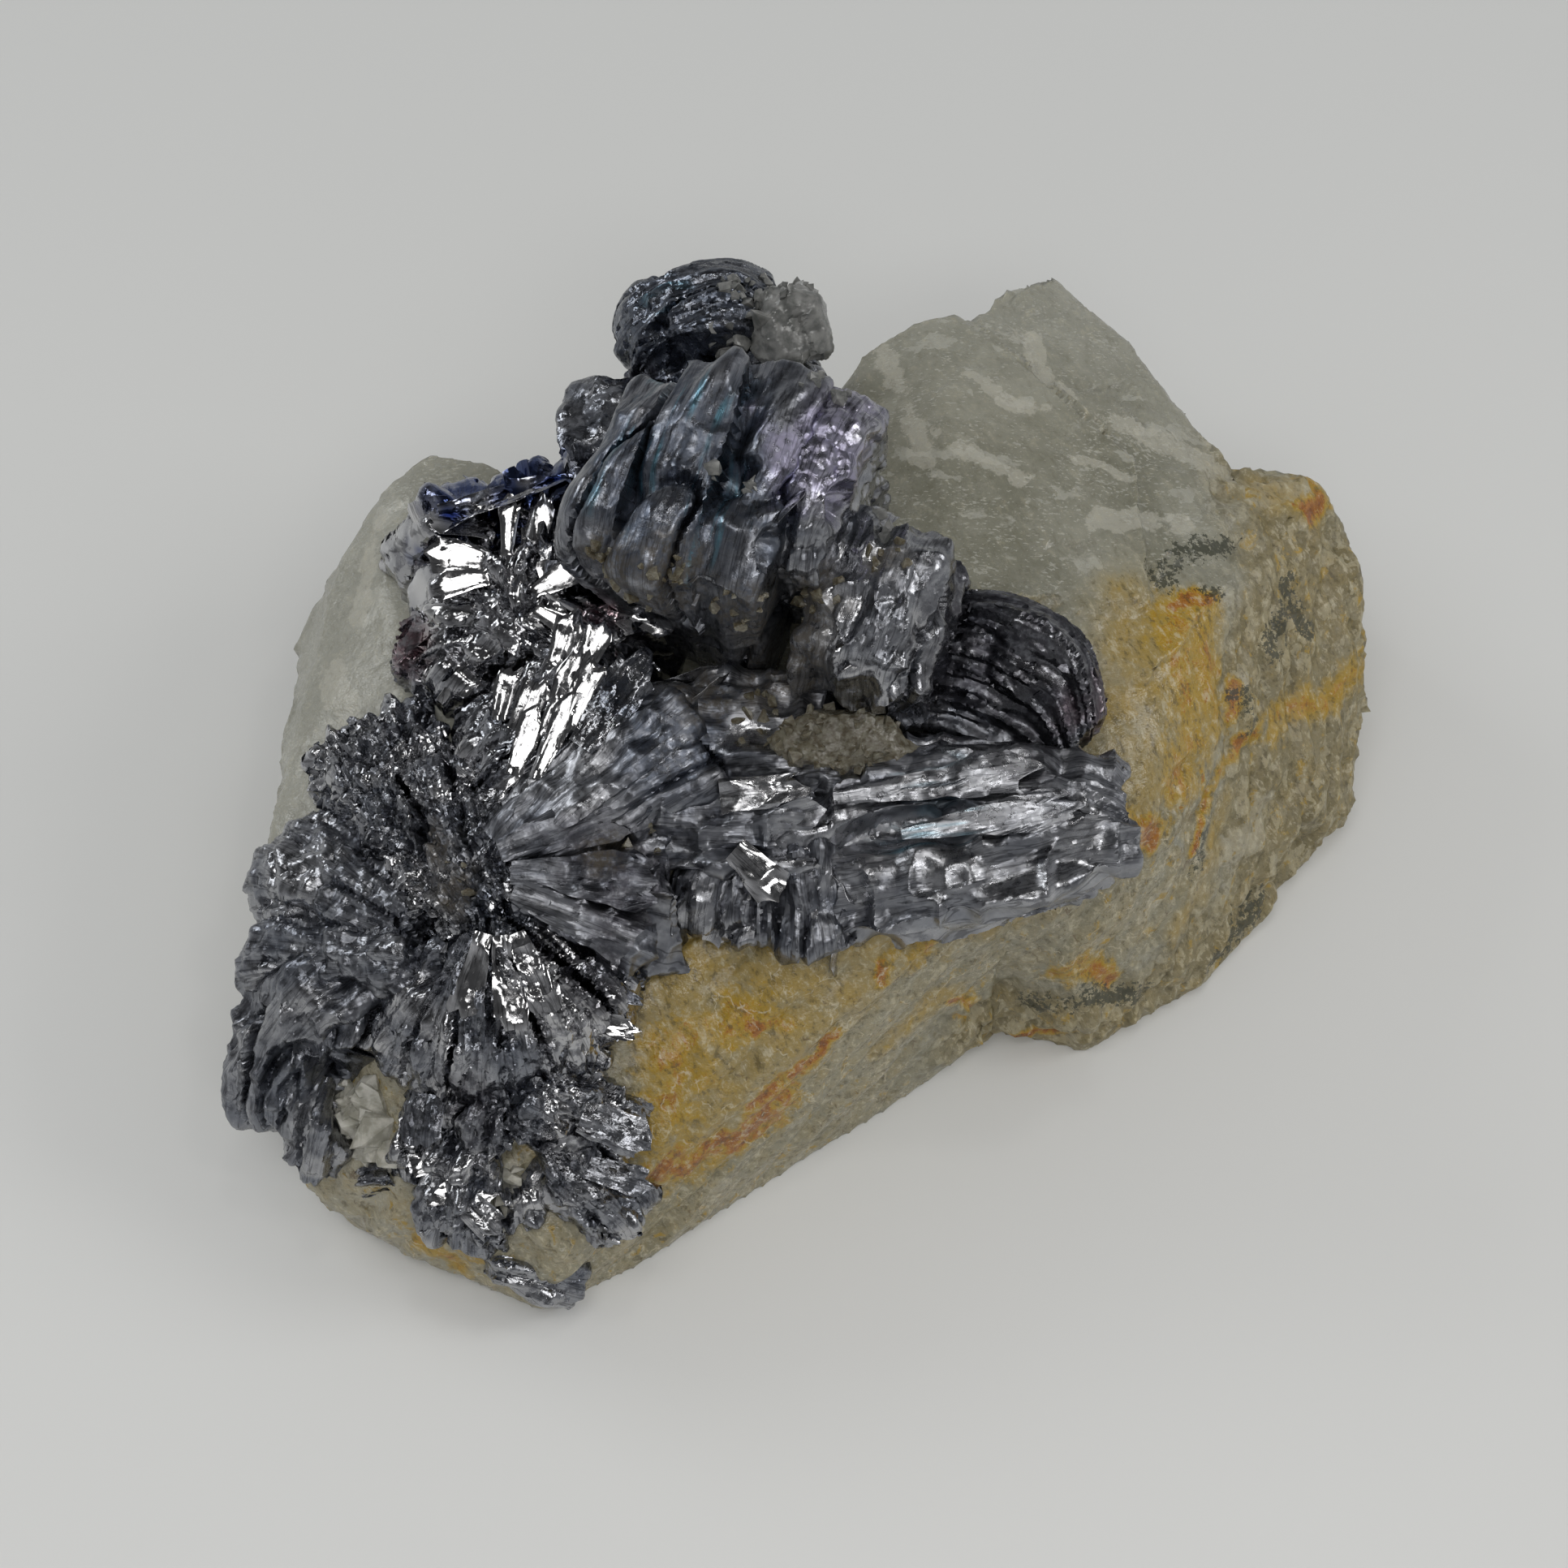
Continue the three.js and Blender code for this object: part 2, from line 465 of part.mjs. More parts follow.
/** Height of the crest over the line between its two ends, at s from 0 to 1. */
function crestHeight(pack, s, tau) {
  const [startDrop, endDrop] = pack.ends ?? [0, 0];
  const start = Math.max(0, 1 - s / ENDS_REACH);
  const end = Math.max(0, 1 - (1 - s) / ENDS_REACH);
  return (pack.arch ?? 0) * 4 * s * (1 - s) - (pack.dome ?? 0) * 4 * tau * tau
    - startDrop * start * start - endDrop * end * end;
}

/** The outline of one leaf of a pack, at a place tau from -0.5 to 0.5 across the pack. */
function leafOutline(pack, axes, leaf, tau) {
  const { from, along, high, across, length } = axes;
  const [wideStart, wideEnd] = pack.wide;
  const [tuckStart, tuckEnd] = pack.tuck ?? [0, 0];
  const seed = Math.round(10 * (pack.from[0] + 7 * pack.from[1] + 31 * pack.to[0]));
  const leafMiddle = (leaf + 0.5) / pack.leaves - 0.5;
  const shortStart = RAGGED * (hash(seed, leaf, 1) - 0.3);
  const shortEnd = 2 * RAGGED * (hash(seed, leaf, 2) - 0.3);
  const raised = RAGGED * (hash(seed, leaf, 3) - 0.5);
  const place = (s, drop) => {
    const depth = drop / pack.deep;
    const wide = (wideStart + (wideEnd - wideStart) * s) * (1 + ((pack.foot ?? 1) - 1) * depth);
    const start = shortStart + tuckStart * depth;
    const reach = length - start - shortEnd - tuckEnd * depth;
    const bow = (pack.bow ?? 0) * 4 * s * (1 - s);
    return from.clone()
      .addScaledVector(along, start + reach * s)
      .addScaledVector(across, tau * wide + bow)
      .addScaledVector(high, -drop);
  };
  const crest = [];
  const root = [];
  for (let n = 0; n < STATIONS; n += 1) {
    const s = n / (STATIONS - 1);
    const uneven = 0.6 * RAGGED * (hash(seed, leaf, 10 + n) - 0.5);
    crest.push(place(s, -crestHeight(pack, s, leafMiddle) - raised - uneven));
    root.push(place(s, pack.deep));
  }
  return [...crest, ...root.reverse()];
}

/** The leaves of a pack as one solid, stepped down from leaf to leaf. */
function packSolid(pack) {
  const axes = axesOf(pack);
  const outlines = [];
  for (let leaf = 0; leaf < pack.leaves; leaf += 1) {
    for (const part of [STEP, 1 - STEP]) {
      outlines.push(leafOutline(pack, axes, leaf, (leaf + part) / pack.leaves - 0.5));
    }
  }
  const size = 2 * STATIONS;
  const faces = [];
  const quad = (a, b, c, d) => faces.push([a, b, c], [a, c, d]);
  outlines.slice(1).forEach((_, ring) => {
    for (let n = 0; n < size; n += 1) {
      const next = (n + 1) % size;
      const [low, high] = [ring * size, (ring + 1) * size];
      quad(low + n, high + n, high + next, low + next);
    }
  });
  const last = (outlines.length - 1) * size;
  for (let n = 0; n < STATIONS - 1; n += 1) {
    const opposite = size - 1 - n;
    quad(n, n + 1, opposite - 1, opposite);
    quad(last + opposite, last + opposite - 1, last + n + 1, last + n);
  }
  return solidFromLists({ points: outlines.flat(), faces });
}

const grown = joined(Object.values(PACKS).flat().map(packSolid));

// ---- quartz between the leaves --------------------------------------------------------

function swollen(corners, distance) {
  const middle = new THREE.Vector3();
  corners.forEach((corner) => middle.add(new THREE.Vector3(...corner)));
  middle.divideScalar(corners.length);
  return corners.map((corner) => {
    const arm = new THREE.Vector3(...corner).sub(middle);
    const longer = arm.length() + SWELL * distance;
    return arm.setLength(longer).add(middle).toArray();
  });
}

const knob = hullOf(KNOB).subtract(quartzWithGap);
const pocket = hullOf(POCKET).subtract(quartzWithGap);
const rosettes = grown
  .subtract(quartzWithGap)
  .subtract(hullOf(swollen(KNOB, GAP)))
  .subtract(hullOf(swollen(POCKET, GAP)));

// ---- the finished specimen ------------------------------------------------------------

const quartzFinish = new THREE.MeshStandardMaterial(
  { color: QUARTZ_COLOUR, roughness: 0.35, metalness: 0 });
const stainedFinish = new THREE.MeshStandardMaterial(
  { color: STAINED_QUARTZ_COLOUR, roughness: 0.4, metalness: 0 });
const leafFinish = new THREE.MeshStandardMaterial(
  { color: MOLYBDENITE_COLOUR, roughness: 0.3, metalness: 1 });

const specimen = new THREE.Group();
specimen.add(meshOf('quartz_matrix', largestBody(listsFromSolid(quartz)), quartzFinish));
specimen.add(meshOf('molybdenite_rosettes', largestBody(listsFromSolid(rosettes)), leafFinish));
specimen.add(meshOf('quartz_knob', largestBody(listsFromSolid(knob)), quartzFinish));
specimen.add(meshOf('quartz_pocket', largestBody(listsFromSolid(pocket)), stainedFinish));
for (const [name, pack] of Object.entries(LOOSE_CRYSTALS)) {
  const crystal = packSolid(pack).subtract(quartzWithGap);
  specimen.add(meshOf(name, largestBody(listsFromSolid(crystal)), leafFinish));
}

const box = new THREE.Box3().setFromObject(specimen);
const middle = box.getCenter(new THREE.Vector3());
specimen.position.set(-middle.x, -middle.y, -box.min.z);

export default specimen;
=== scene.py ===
"""Molybdenite rosettes on a broken lump of milky quartz: the finished surfaces.

The crystals are laid out in the specimen's field frame in millimetres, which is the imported
frame moved by SHIFT. Every mesh is made here from named shapes and seeded noise.
"""

import functools
import itertools
import math

import bmesh
import bpy
import numpy as np
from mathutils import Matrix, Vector


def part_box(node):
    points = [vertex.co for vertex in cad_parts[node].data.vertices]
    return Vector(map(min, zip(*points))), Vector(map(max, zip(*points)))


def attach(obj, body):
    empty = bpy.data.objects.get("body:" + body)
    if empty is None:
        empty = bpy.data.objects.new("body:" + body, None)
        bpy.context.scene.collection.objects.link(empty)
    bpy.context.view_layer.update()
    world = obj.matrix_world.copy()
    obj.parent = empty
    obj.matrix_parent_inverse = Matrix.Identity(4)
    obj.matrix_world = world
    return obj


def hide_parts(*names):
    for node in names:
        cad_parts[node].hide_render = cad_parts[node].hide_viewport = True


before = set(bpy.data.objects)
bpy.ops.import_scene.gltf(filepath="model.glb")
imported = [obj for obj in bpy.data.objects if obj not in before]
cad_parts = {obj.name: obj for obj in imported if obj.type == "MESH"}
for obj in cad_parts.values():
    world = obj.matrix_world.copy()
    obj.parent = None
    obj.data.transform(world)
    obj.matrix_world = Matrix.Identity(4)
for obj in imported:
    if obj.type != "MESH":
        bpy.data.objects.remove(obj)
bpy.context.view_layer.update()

MM = 0.001
KNOB_CORNER = np.array([-2.6, 26.2, 32.0])  # low corner of the quartz knob, field frame
SHIFT = np.array(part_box("quartz_knob")[0]) / MM - KNOB_CORNER
ROSETTES = "molybdenite_rosettes"

# ---- numbers --------------------------------------------------------------------------

LEAF_NET = 0.25  # net of the molybdenite, mm
LUMP_NET = 0.43  # net of the quartz lump
CRYSTAL_NET = 0.22  # net of the small quartz crystals
TABLE_CLEAR = 0.05  # the lowest that a loose leaf or grain reaches, mm
NO_EDGE = 180  # degrees between faces from which an edge stays sharp
LEAF_EDGE = 38
CRYSTAL_EDGE = 32
GRAIN_EDGE = 25
BREAK_REACH = 1.9  # the most that the lump's surface moves to the flat face of a block, mm
PACKS_APART = 40  # keeps the leaf patterns of neighbouring packs apart, mm
SHEET_SEEDS = 700  # where the seeds of the single sheets start


def hashed(i, j, k):
    """Repeatable numbers from 0 to 1 for whole-number arrays."""
    with np.errstate(over="ignore"):
        h = (
            np.asarray(i).astype(np.int64).astype(np.uint32) * np.uint32(374761393)
            + np.asarray(j).astype(np.int64).astype(np.uint32) * np.uint32(668265263)
            + np.asarray(k).astype(np.int64).astype(np.uint32) * np.uint32(2246822519)
        )
        h = (h ^ (h >> np.uint32(15))) * np.uint32(2246822519)
        h = (h ^ (h >> np.uint32(13))) * np.uint32(3266489917)
        h = h ^ (h >> np.uint32(16))
    return h.astype(np.float64) / 4294967295.0


def noise(points, size, salt=0):
    """Smooth noise from -1 to 1; size is a number or one number for each axis, in mm."""
    q = np.asarray(points, float) / np.asarray(size, float)
    base = np.floor(q)
    f = q - base
    u = f * f * f * (f * (f * 6 - 15) + 10)
    total = 0.0
    for corner in itertools.product((0, 1), repeat=3):
        weight = 1.0
        for axis in range(3):
            weight = weight * (u[..., axis] if corner[axis] else 1 - u[..., axis])
        total = total + weight * hashed(
            base[..., 0] + corner[0] + salt, base[..., 1] + corner[1], base[..., 2] + corner[2]
        )
    return 2 * total - 1


def fractal(points, size, salt=0, octaves=3):
    """Noise from -1 to 1 with ever smaller waves on it."""
    total, weight = 0.0, 1.0
    for octave in range(octaves):
        total = total + weight * noise(points, size / 2.1**octave, salt + 17 * octave)
        weight *= 0.5
    return total / (2 - 2 * weight)


def swirl(points, size, salts, octaves=3):
    """A smooth random way off for each point."""
    return np.stack([fractal(points, size, salt, octaves) for salt in salts], 1)


def cells(points, size, salt=0):
    """Number of the nearest of a jittered lattice of seeds, for each point."""
    q = points / size
    base = np.floor(q)
    best = np.full(len(points), 1e9)
    ident = np.zeros(len(points), np.int64)
    for step in itertools.product((-1, 0, 1), repeat=3):
        cell = base + step
        i, j, k = cell.T
        draw = hashed(i + salt, j, k), hashed(i, j + salt + 7, k), hashed(i, j, k + salt + 13)
        far = np.linalg.norm(cell + np.stack(draw, 1) - q, axis=1)
        near = far < best
        best = np.where(near, far, best)
        number = (i * 73856093 + j * 19349663 + k * 83492791).astype(np.int64)
        ident = np.where(near, number, ident)
    return np.unique(ident, return_inverse=True)[1]


def plates(points, size, salt, tilt=1.0, flat=0.6):
    """Heights of overlapping flat plates at random tilts, about -1 to 1, with sharp edges."""
    q = points / np.asarray(size, float)
    base = np.floor(q)
    best = np.full(len(points), -9.0)
    for step in itertools.product((-1, 0, 1), repeat=3):
        i, j, k = (base + step).T
        draw = [hashed(i + salt + 11 * n, j, k) for n in range(7)]
        away = q - base - step - np.stack(draw[:3], 1)
        lean = (np.stack(draw[3:6], 1) - 0.5) * (2 * tilt)
        far = np.maximum(0, np.linalg.norm(away, axis=1) - flat)
        best = np.maximum(best, draw[6] + (away * lean).sum(1) - 6 * far**2)
    return best - 0.9


def smoothstep(low, high, x):
    """Rises from 0 at low to 1 at high; it falls where low is the greater."""
    t = np.clip((x - low) / (high - low), 0, 1)
    return t * t * (3 - 2 * t)


def unit(v):
    return v / np.maximum(1e-9, np.linalg.norm(v, axis=-1, keepdims=True))


def lying_along(points, direction):
    """Places in axes whose first runs along a direction."""
    along = unit(np.array(direction, float))
    side = unit(np.cross((0.0, 0.0, 1.0), along))
    return np.stack([points @ along, points @ side, points @ np.cross(along, side)], 1)


def distance_to_line(points, line):
    """Distance from each point to a line of joined points."""
    line = np.asarray(line, float)
    best = np.full(len(points), 1e9)
    for a, b in zip(line[:-1], line[1:]):
        ab = b - a
        t = np.clip((points - a) @ ab / (ab @ ab), 0, 1)
        best = np.minimum(best, np.linalg.norm(points - a - t[:, None] * ab, axis=1))
    return best


# ---- meshes ---------------------------------------------------------------------------


def new_object(name, points, faces, sharp=None, values=None, vectors=None):
    """A mesh object from field-frame points in mm and rows of corners.

    Edges over `sharp` degrees stay sharp; without it every face is flat. `values` and `vectors`
    are what the materials read at each point.
    """
    mesh = bpy.data.meshes.new(name)
    points = (np.asarray(points, float) + SHIFT) * MM
    faces = np.asarray(faces, np.int32)
    mesh.vertices.add(len(points))
    mesh.vertices.foreach_set("co", points.astype(np.float32).ravel())
    mesh.loops.add(faces.size)
    mesh.loops.foreach_set("vertex_index", faces.ravel())
    mesh.polygons.add(len(faces))
    mesh.polygons.foreach_set("loop_start", np.arange(0, faces.size, faces.shape[1], dtype=np.int32))
    mesh.update(calc_edges=True)
    mesh.validate()
    if sharp is None:
        mesh.shade_flat()
    else:
        mesh.shade_smooth()
        if sharp < NO_EDGE:
            mesh.set_sharp_from_angle(angle=math.radians(sharp))
    for key, value in (values or {}).items():
        mesh.attributes.new(key, "FLOAT", "POINT").data.foreach_set("value", value.astype(np.float32))
    for key, value in (vectors or {}).items():
        layer = mesh.attributes.new(key, "FLOAT_VECTOR", "POINT")
        layer.data.foreach_set("vector", value.astype(np.float32).ravel())
    made = bpy.data.objects.new(name, mesh)
    bpy.context.scene.collection.objects.link(made)
    return made


def finished(piece, material, slot, *nodes):
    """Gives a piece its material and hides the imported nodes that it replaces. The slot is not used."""
    piece.data.materials.append(material)
    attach(piece, "root")
    if nodes:
        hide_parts(*nodes)


def mesh_arrays(mesh):
    """Points in field-frame mm and triangles of a mesh."""
    points = np.zeros(len(mesh.vertices) * 3)
    mesh.vertices.foreach_get("co", points)
    mesh.calc_loop_triangles()
    corners = np.zeros(len(mesh.loop_triangles) * 3, np.int32)
    mesh.loop_triangles.foreach_get("vertices", corners)
    return points.reshape(-1, 3) / MM - SHIFT, corners.reshape(-1, 3)


def node_mesh(name):
    return mesh_arrays(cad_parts[name].data)


def remeshed(points, faces, voxel):
    """A closed net of small squares over a closed surface; field-frame mm in and out."""
    rough = new_object("remesh_source", points, faces)
    change = rough.modifiers.new("net", "REMESH")
    change.mode = "VOXEL"
    change.voxel_size = voxel * MM
    arrays = mesh_arrays(rough.evaluated_get(bpy.context.evaluated_depsgraph_get()).to_mesh())
    mesh = rough.data
    bpy.data.objects.remove(rough)
    bpy.data.meshes.remove(mesh)
    return arrays


def vertex_normals(points, faces):
    a, b, c = (points[faces[:, n]] for n in range(3))
    flat = np.cross(b - a, c - a)
    total = np.zeros_like(points)
    for n in range(3):
        for axis in range(3):
            total[:, axis] += np.bincount(faces[:, n], flat[:, axis], len(points))
    return unit(total)


def smoothed(points, faces, rounds):
    """Each point moved half way to the mean of its neighbours, a few times."""
    pairs = np.concatenate([faces[:, [0, 1]], faces[:, [1, 2]], faces[:, [2, 0]]])
    count = np.bincount(pairs[:, 0], minlength=len(points))
    for _ in range(rounds):
        near = points[pairs[:, 1]]
        total = np.stack([np.bincount(pairs[:, 0], near[:, axis], len(points)) for axis in range(3)], 1)
        points = 0.5 * points + 0.5 * total / np.maximum(1, count)[:, None]
    return points


# ---- shader helpers -------------------------------------------------------------------


class Value:
    """A number in a shader: its sums and products add the maths nodes."""

    def __init__(self, nodes, socket):
        self.nodes = nodes
        self.socket = socket

    def __add__(self, other):
        return self.nodes.math("ADD", self, other)

    def __sub__(self, other):
        return self.nodes.math("SUBTRACT", self, other)

    def __rsub__(self, other):
        return self.nodes.math("SUBTRACT", other, self)

    def __mul__(self, other):
        return self.nodes.math("MULTIPLY", self, other)

    __rmul__ = __mul__


class Nodes:
    """A material and short calls that add and link its nodes."""

    def __init__(self, name):
        self.material = bpy.data.materials.new(name)
        self.material.use_nodes = True
        self.tree = self.material.node_tree
        self.tree.nodes.clear()
        self.shader = self.add("BsdfPrincipled")
        self.tree.links.new(self.shader.outputs[0], self.add("OutputMaterial").inputs[0])
        self.place = self.math_vector("MULTIPLY", self.add("TexCoord").outputs["Object"], (1 / MM,) * 3)

    def feed(self, socket, value):
        if isinstance(value, Value):
            value = value.socket
        if isinstance(value, bpy.types.NodeSocket):
            self.tree.links.new(value, socket)
        else:
            socket.default_value = value

    def set(self, node=None, **values):
        """Sets or links inputs by name, of the surface where no node is given."""
        for key, value in values.items():
            self.feed((node or self.shader).inputs[key.replace("_", " ")], value)

    def add(self, kind, settings=None, **inputs):
        """A new node with its settings and inputs."""
        node = self.tree.nodes.new("ShaderNode" + kind)
        for key, value in (settings or {}).items():
            setattr(node, key, value)
        self.set(node, **inputs)
        return node

    def number(self, node, output=0):
        return Value(self, node.outputs[output])

    def math(self, operation, a, b=0.0, clamp=False):
        node = self.add("Math", {"operation": operation, "use_clamp": clamp})
        self.feed(node.inputs[0], a)
        self.feed(node.inputs[1], b)
        return self.number(node)

    def math_vector(self, operation, a, b):
        node = self.add("VectorMath", {"operation": operation})
        self.feed(node.inputs[0], a)
        self.feed(node.inputs[1], b)
        return node.outputs[0]

    def larger(self, *values):
        return functools.reduce(lambda a, b: self.math("MAXIMUM", a, b), values)

    def parts(self, vector):
        """The three numbers of a colour or place."""
        node = self.add("SeparateXYZ", Vector=vector)
        return [self.number(node, axis) for axis in range(3)]

    def value(self, name):
        return self.number(self.add("Attribute", {"attribute_name": name}), "Fac")

    def streaked(self, rotation, along):
        """Places turned and drawn out along their new Y, for streaky patterns."""
        stretch = (1, 1 / along, 1)
        return self.add("Mapping", {"vector_type": "TEXTURE"}, Rotation=rotation, Scale=stretch,
                        Vector=self.place).outputs[0]

    def wander(self, scale, detail, far):
        """A random way off in mm, smoothly changing from place to place."""
        node = self.add("TexNoise", Vector=self.place, Scale=scale, Detail=detail)
        return self.math_vector("MULTIPLY", node.outputs["Color"], (far,) * 3)

    def noise(self, scale, detail=3.0, vector=None, roughness=0.55, distortion=0.0, stretch=None):
        place = vector or self.place
        if stretch:
            place = self.math_vector("MULTIPLY", place, stretch)
        look = dict(Scale=scale, Detail=detail, Roughness=roughness, Distortion=distortion)
        return self.number(self.add("TexNoise", Vector=place, **look), "Fac")

    def cell_colour(self, scale, vector):
        """A random colour for each cell of a pattern."""
        return self.add("TexVoronoi", Vector=vector, Scale=scale).outputs["Color"]

    def between(self, value, low, high, to_low=0.0, to_high=1.0):
        """A smooth change from to_low to to_high as the value goes from low to high."""
        limits = dict(From_Min=low, From_Max=high, To_Min=to_low, To_Max=to_high)
        return self.number(self.add("MapRange", {"interpolation_type": "SMOOTHSTEP"}, Value=value, **limits))

    def mix(self, factor, a, b):
        node = self.add("Mix", {"data_type": "RGBA"}, Factor=factor)
        for socket, value in ((node.inputs[6], a), (node.inputs[7], b)):
            self.feed(socket, value if isinstance(value, bpy.types.NodeSocket) else (*value, 1.0))
        return node.outputs[2]

    def facets(self, place, amount, normal=None):
        """The surface's direction, tilted at random in each cell of a pattern, as on tiny flat crystals."""
        tilt = self.math_vector("SUBTRACT", self.cell_colour(1.0, place), (0.5, 0.5, 0.5))
        scaled = self.add("VectorMath", {"operation": "SCALE"}, Scale=amount)
        self.feed(scaled.inputs[0], tilt)
        normal = normal or self.add("NewGeometry").outputs["Normal"]
        return self.math_vector("NORMALIZE", self.math_vector("ADD", normal, scaled.outputs[0]), (0, 0, 0))

    def ramp(self, value, stops):
        """Colours at places along a value, blended between."""
        node = self.add("ValToRGB")
        last = stops[-1][0]
        self.feed(node.inputs[0], self.math("DIVIDE", value, last))
        ramp = node.color_ramp
        while len(ramp.elements) < len(stops):
            ramp.elements.new(0.5)
        for element, (position, colour) in zip(ramp.elements, stops):
            element.position = position / last
            element.color = (*colour, 1.0)
        return node.outputs[0]

    def bump(self, height, strength, distance, **more):
        return self.add("Bump", Height=height, Strength=strength, Distance=distance * MM, **more).outputs[0]


# ---- quartz ---------------------------------------------------------------------------
# The corner points of the lump's blocks, in field-frame mm.

QUARTZ_HEART = np.array([1.0, 5.0, 9.0])  # every broken face is in sight of this inner point
QUARTZ_BLOCKS = {
    "tall_lobe": [
        (5.8, 34.9, 25.5), (10.2, 37.4, 26.5), (13.3, 38, 26.4), (17.5, 34, 27), (26, 26, 25), (27, 12, 25),
        (11.5, 11, 27.5), (4.5, 20, 26.4), (3.5, 30, 24.5), (12, 26, 28.2), (5, 38, 12), (14, 41.5, 10),
        (3, 36, -5), (14, 42, -5), (24, 16, -5), (2, 18, -5),
    ],
    "back_shoulder": [
        (10, 30, 26.6), (14.6, 37, 25.8), (17.3, 42, 25), (21.2, 43.8, 24), (27.1, 38, 22.5),
        (32.3, 31, 20.5), (35, 25.6, 21), (33.5, 16, 22.8), (25.6, 6, 24.5), (12, 14, 26.6), (18, 46, 12),
        (23, 47, 10), (35, 33, 6), (17, 46.5, -5), (24, 47, -5), (37, 32, -5), (34, 10, -5), (12, 12, -5),
    ],
    "right_nose": [
        (35.5, 29.4, 18.5), (39.3, 29, 18.3), (42, 27.6, 18), (30, 22, 22.6), (33.2, 14.6, 22.5),
        (43.3, 23.7, 15), (44.9, 19.6, 12), (45.6, 14.7, 8), (43, 30, 5), (45, 25, 3), (37, 32.5, 8),
        (38, 32, -5), (44, 28, -5), (45.5, 16, -5), (26, 10, -5), (28, 26, -5),
    ],
    "right_wall": [
        (32.8, 14.6, 22.3), (33.2, 6.3, 17.5), (38, 20, 19.5), (45.3, 13.8, 7), (44.2, 9, 5),
        (44.2, 7.4, 3.5), (42, 5.8, 3.5), (39, 3, 2.5), (31.5, -2.2, 10.5), (44.8, 15, -5), (43, 8, -5),
        (38, 4, -5), (33, -5, -5), (22, 4, -5), (24, 16, -5), (26, 12, 24.4),
    ],
    "front_right": [
        (25.6, 8, 24.5), (32.6, 14.4, 22.5), (32.9, 6.3, 17.5), (25.3, -3.2, 21.5), (30.6, -2.4, 10),
        (28.5, -7.2, 6), (18.6, -8.2, 22.5), (13.5, -8, 23), (37.1, -1, 1), (32.3, -6.5, 1), (23.1, -12.2, 1),
        (17.5, -10.6, 2), (38, 0, -5), (32.5, -6, -5), (23.1, -12, -5), (16, -10.6, -5), (6, 10, -5),
        (6, 10, 25),
    ],
    "front_left": [
        (16.5, -8.8, 22.6), (13.3, -11.3, 22), (4.2, -13.8, 22.5), (-3, -15.5, 21), (-9.4, -18.8, 18),
        (-16, -21, 15), (12.4, -11.8, 17), (7.8, -13.6, 13.5), (-0.4, -18.8, 8.5), (-9.6, -25.6, 10.5),
        (-15, -29.5, 8), (13.8, -12.3, 1), (4.5, -18.1, 1), (-0.4, -20.5, 1), (-4, -23.7, 1),
        (-9.9, -28.8, 1), (14.5, -12, -5), (-9.9, -29, -5), (-16, -31, -5), (-14, 6, -5), (14, 8, -5),
        (-9, -6, 25), (8, 4, 26),
    ],
    "front_foot": [
        (-8, -17, 19), (-9.6, -25.8, 10.5), (-9.9, -28.8, 1), (-17.5, -32.9, 0.5), (-15.3, -32, 8),
        (-21.5, -31.2, 2), (-19.6, -29.4, 11.5), (-22.4, -23.2, 16.5), (-27.4, -29.4, 3), (-34.4, -26, 5.5),
        (-33.2, -25.2, 8), (-30.5, -21, 13), (-36.6, -20, 10), (-10, -29.2, -5), (-17.5, -33, -5),
        (-26, -28.4, -5), (-33.4, -23.4, -5), (-36, -16, -5), (-36.8, -12, 16), (-8, -4, -5), (-12, -10, 24),
    ],
    "left_lobe": [
        (-38.6, -11.8, 15), (-37.4, -1.8, 17), (-37.2, 4.8, 16), (-36.1, 10.5, 16.5), (-37.2, 16.8, 14),
        (-33.8, 20.9, 18.5), (-30.2, 26.3, 20.5), (-27.1, 28.4, 21.5), (-22, 26.8, 22.3), (-29.8, 18.8, 21.5),
        (-22.2, 15.5, 22.5), (-31.3, 10.2, 20), (-27, -3.4, 22.5), (-14, -4, 24), (-12, 14, 24),
        (-35.4, -12, 17.5), (-37, -14, -5), (-36, 12, -5), (-35.5, 20, -5), (-29, 29, -5), (-20, 30, -5),
        (-10, -12, -5),
    ],
    "core": [
        (-22, 24, 22.5), (-14, 25, 22), (-5, 28, 22.5), (3.8, 31, 24.3), (12, 14, 27), (20, 2, 24.5),
        (-20, -8, 23.5), (-8, -10, 24), (-20, 28.5, 8), (-5, 32.5, 8), (5, 35, 8), (-22, 30, -5), (6, 36, -5),
        (22, 4, -5), (-22, -10, -5),
    ],
}

# Places of the stains and veils, in field-frame mm: half width, then the points of a line.

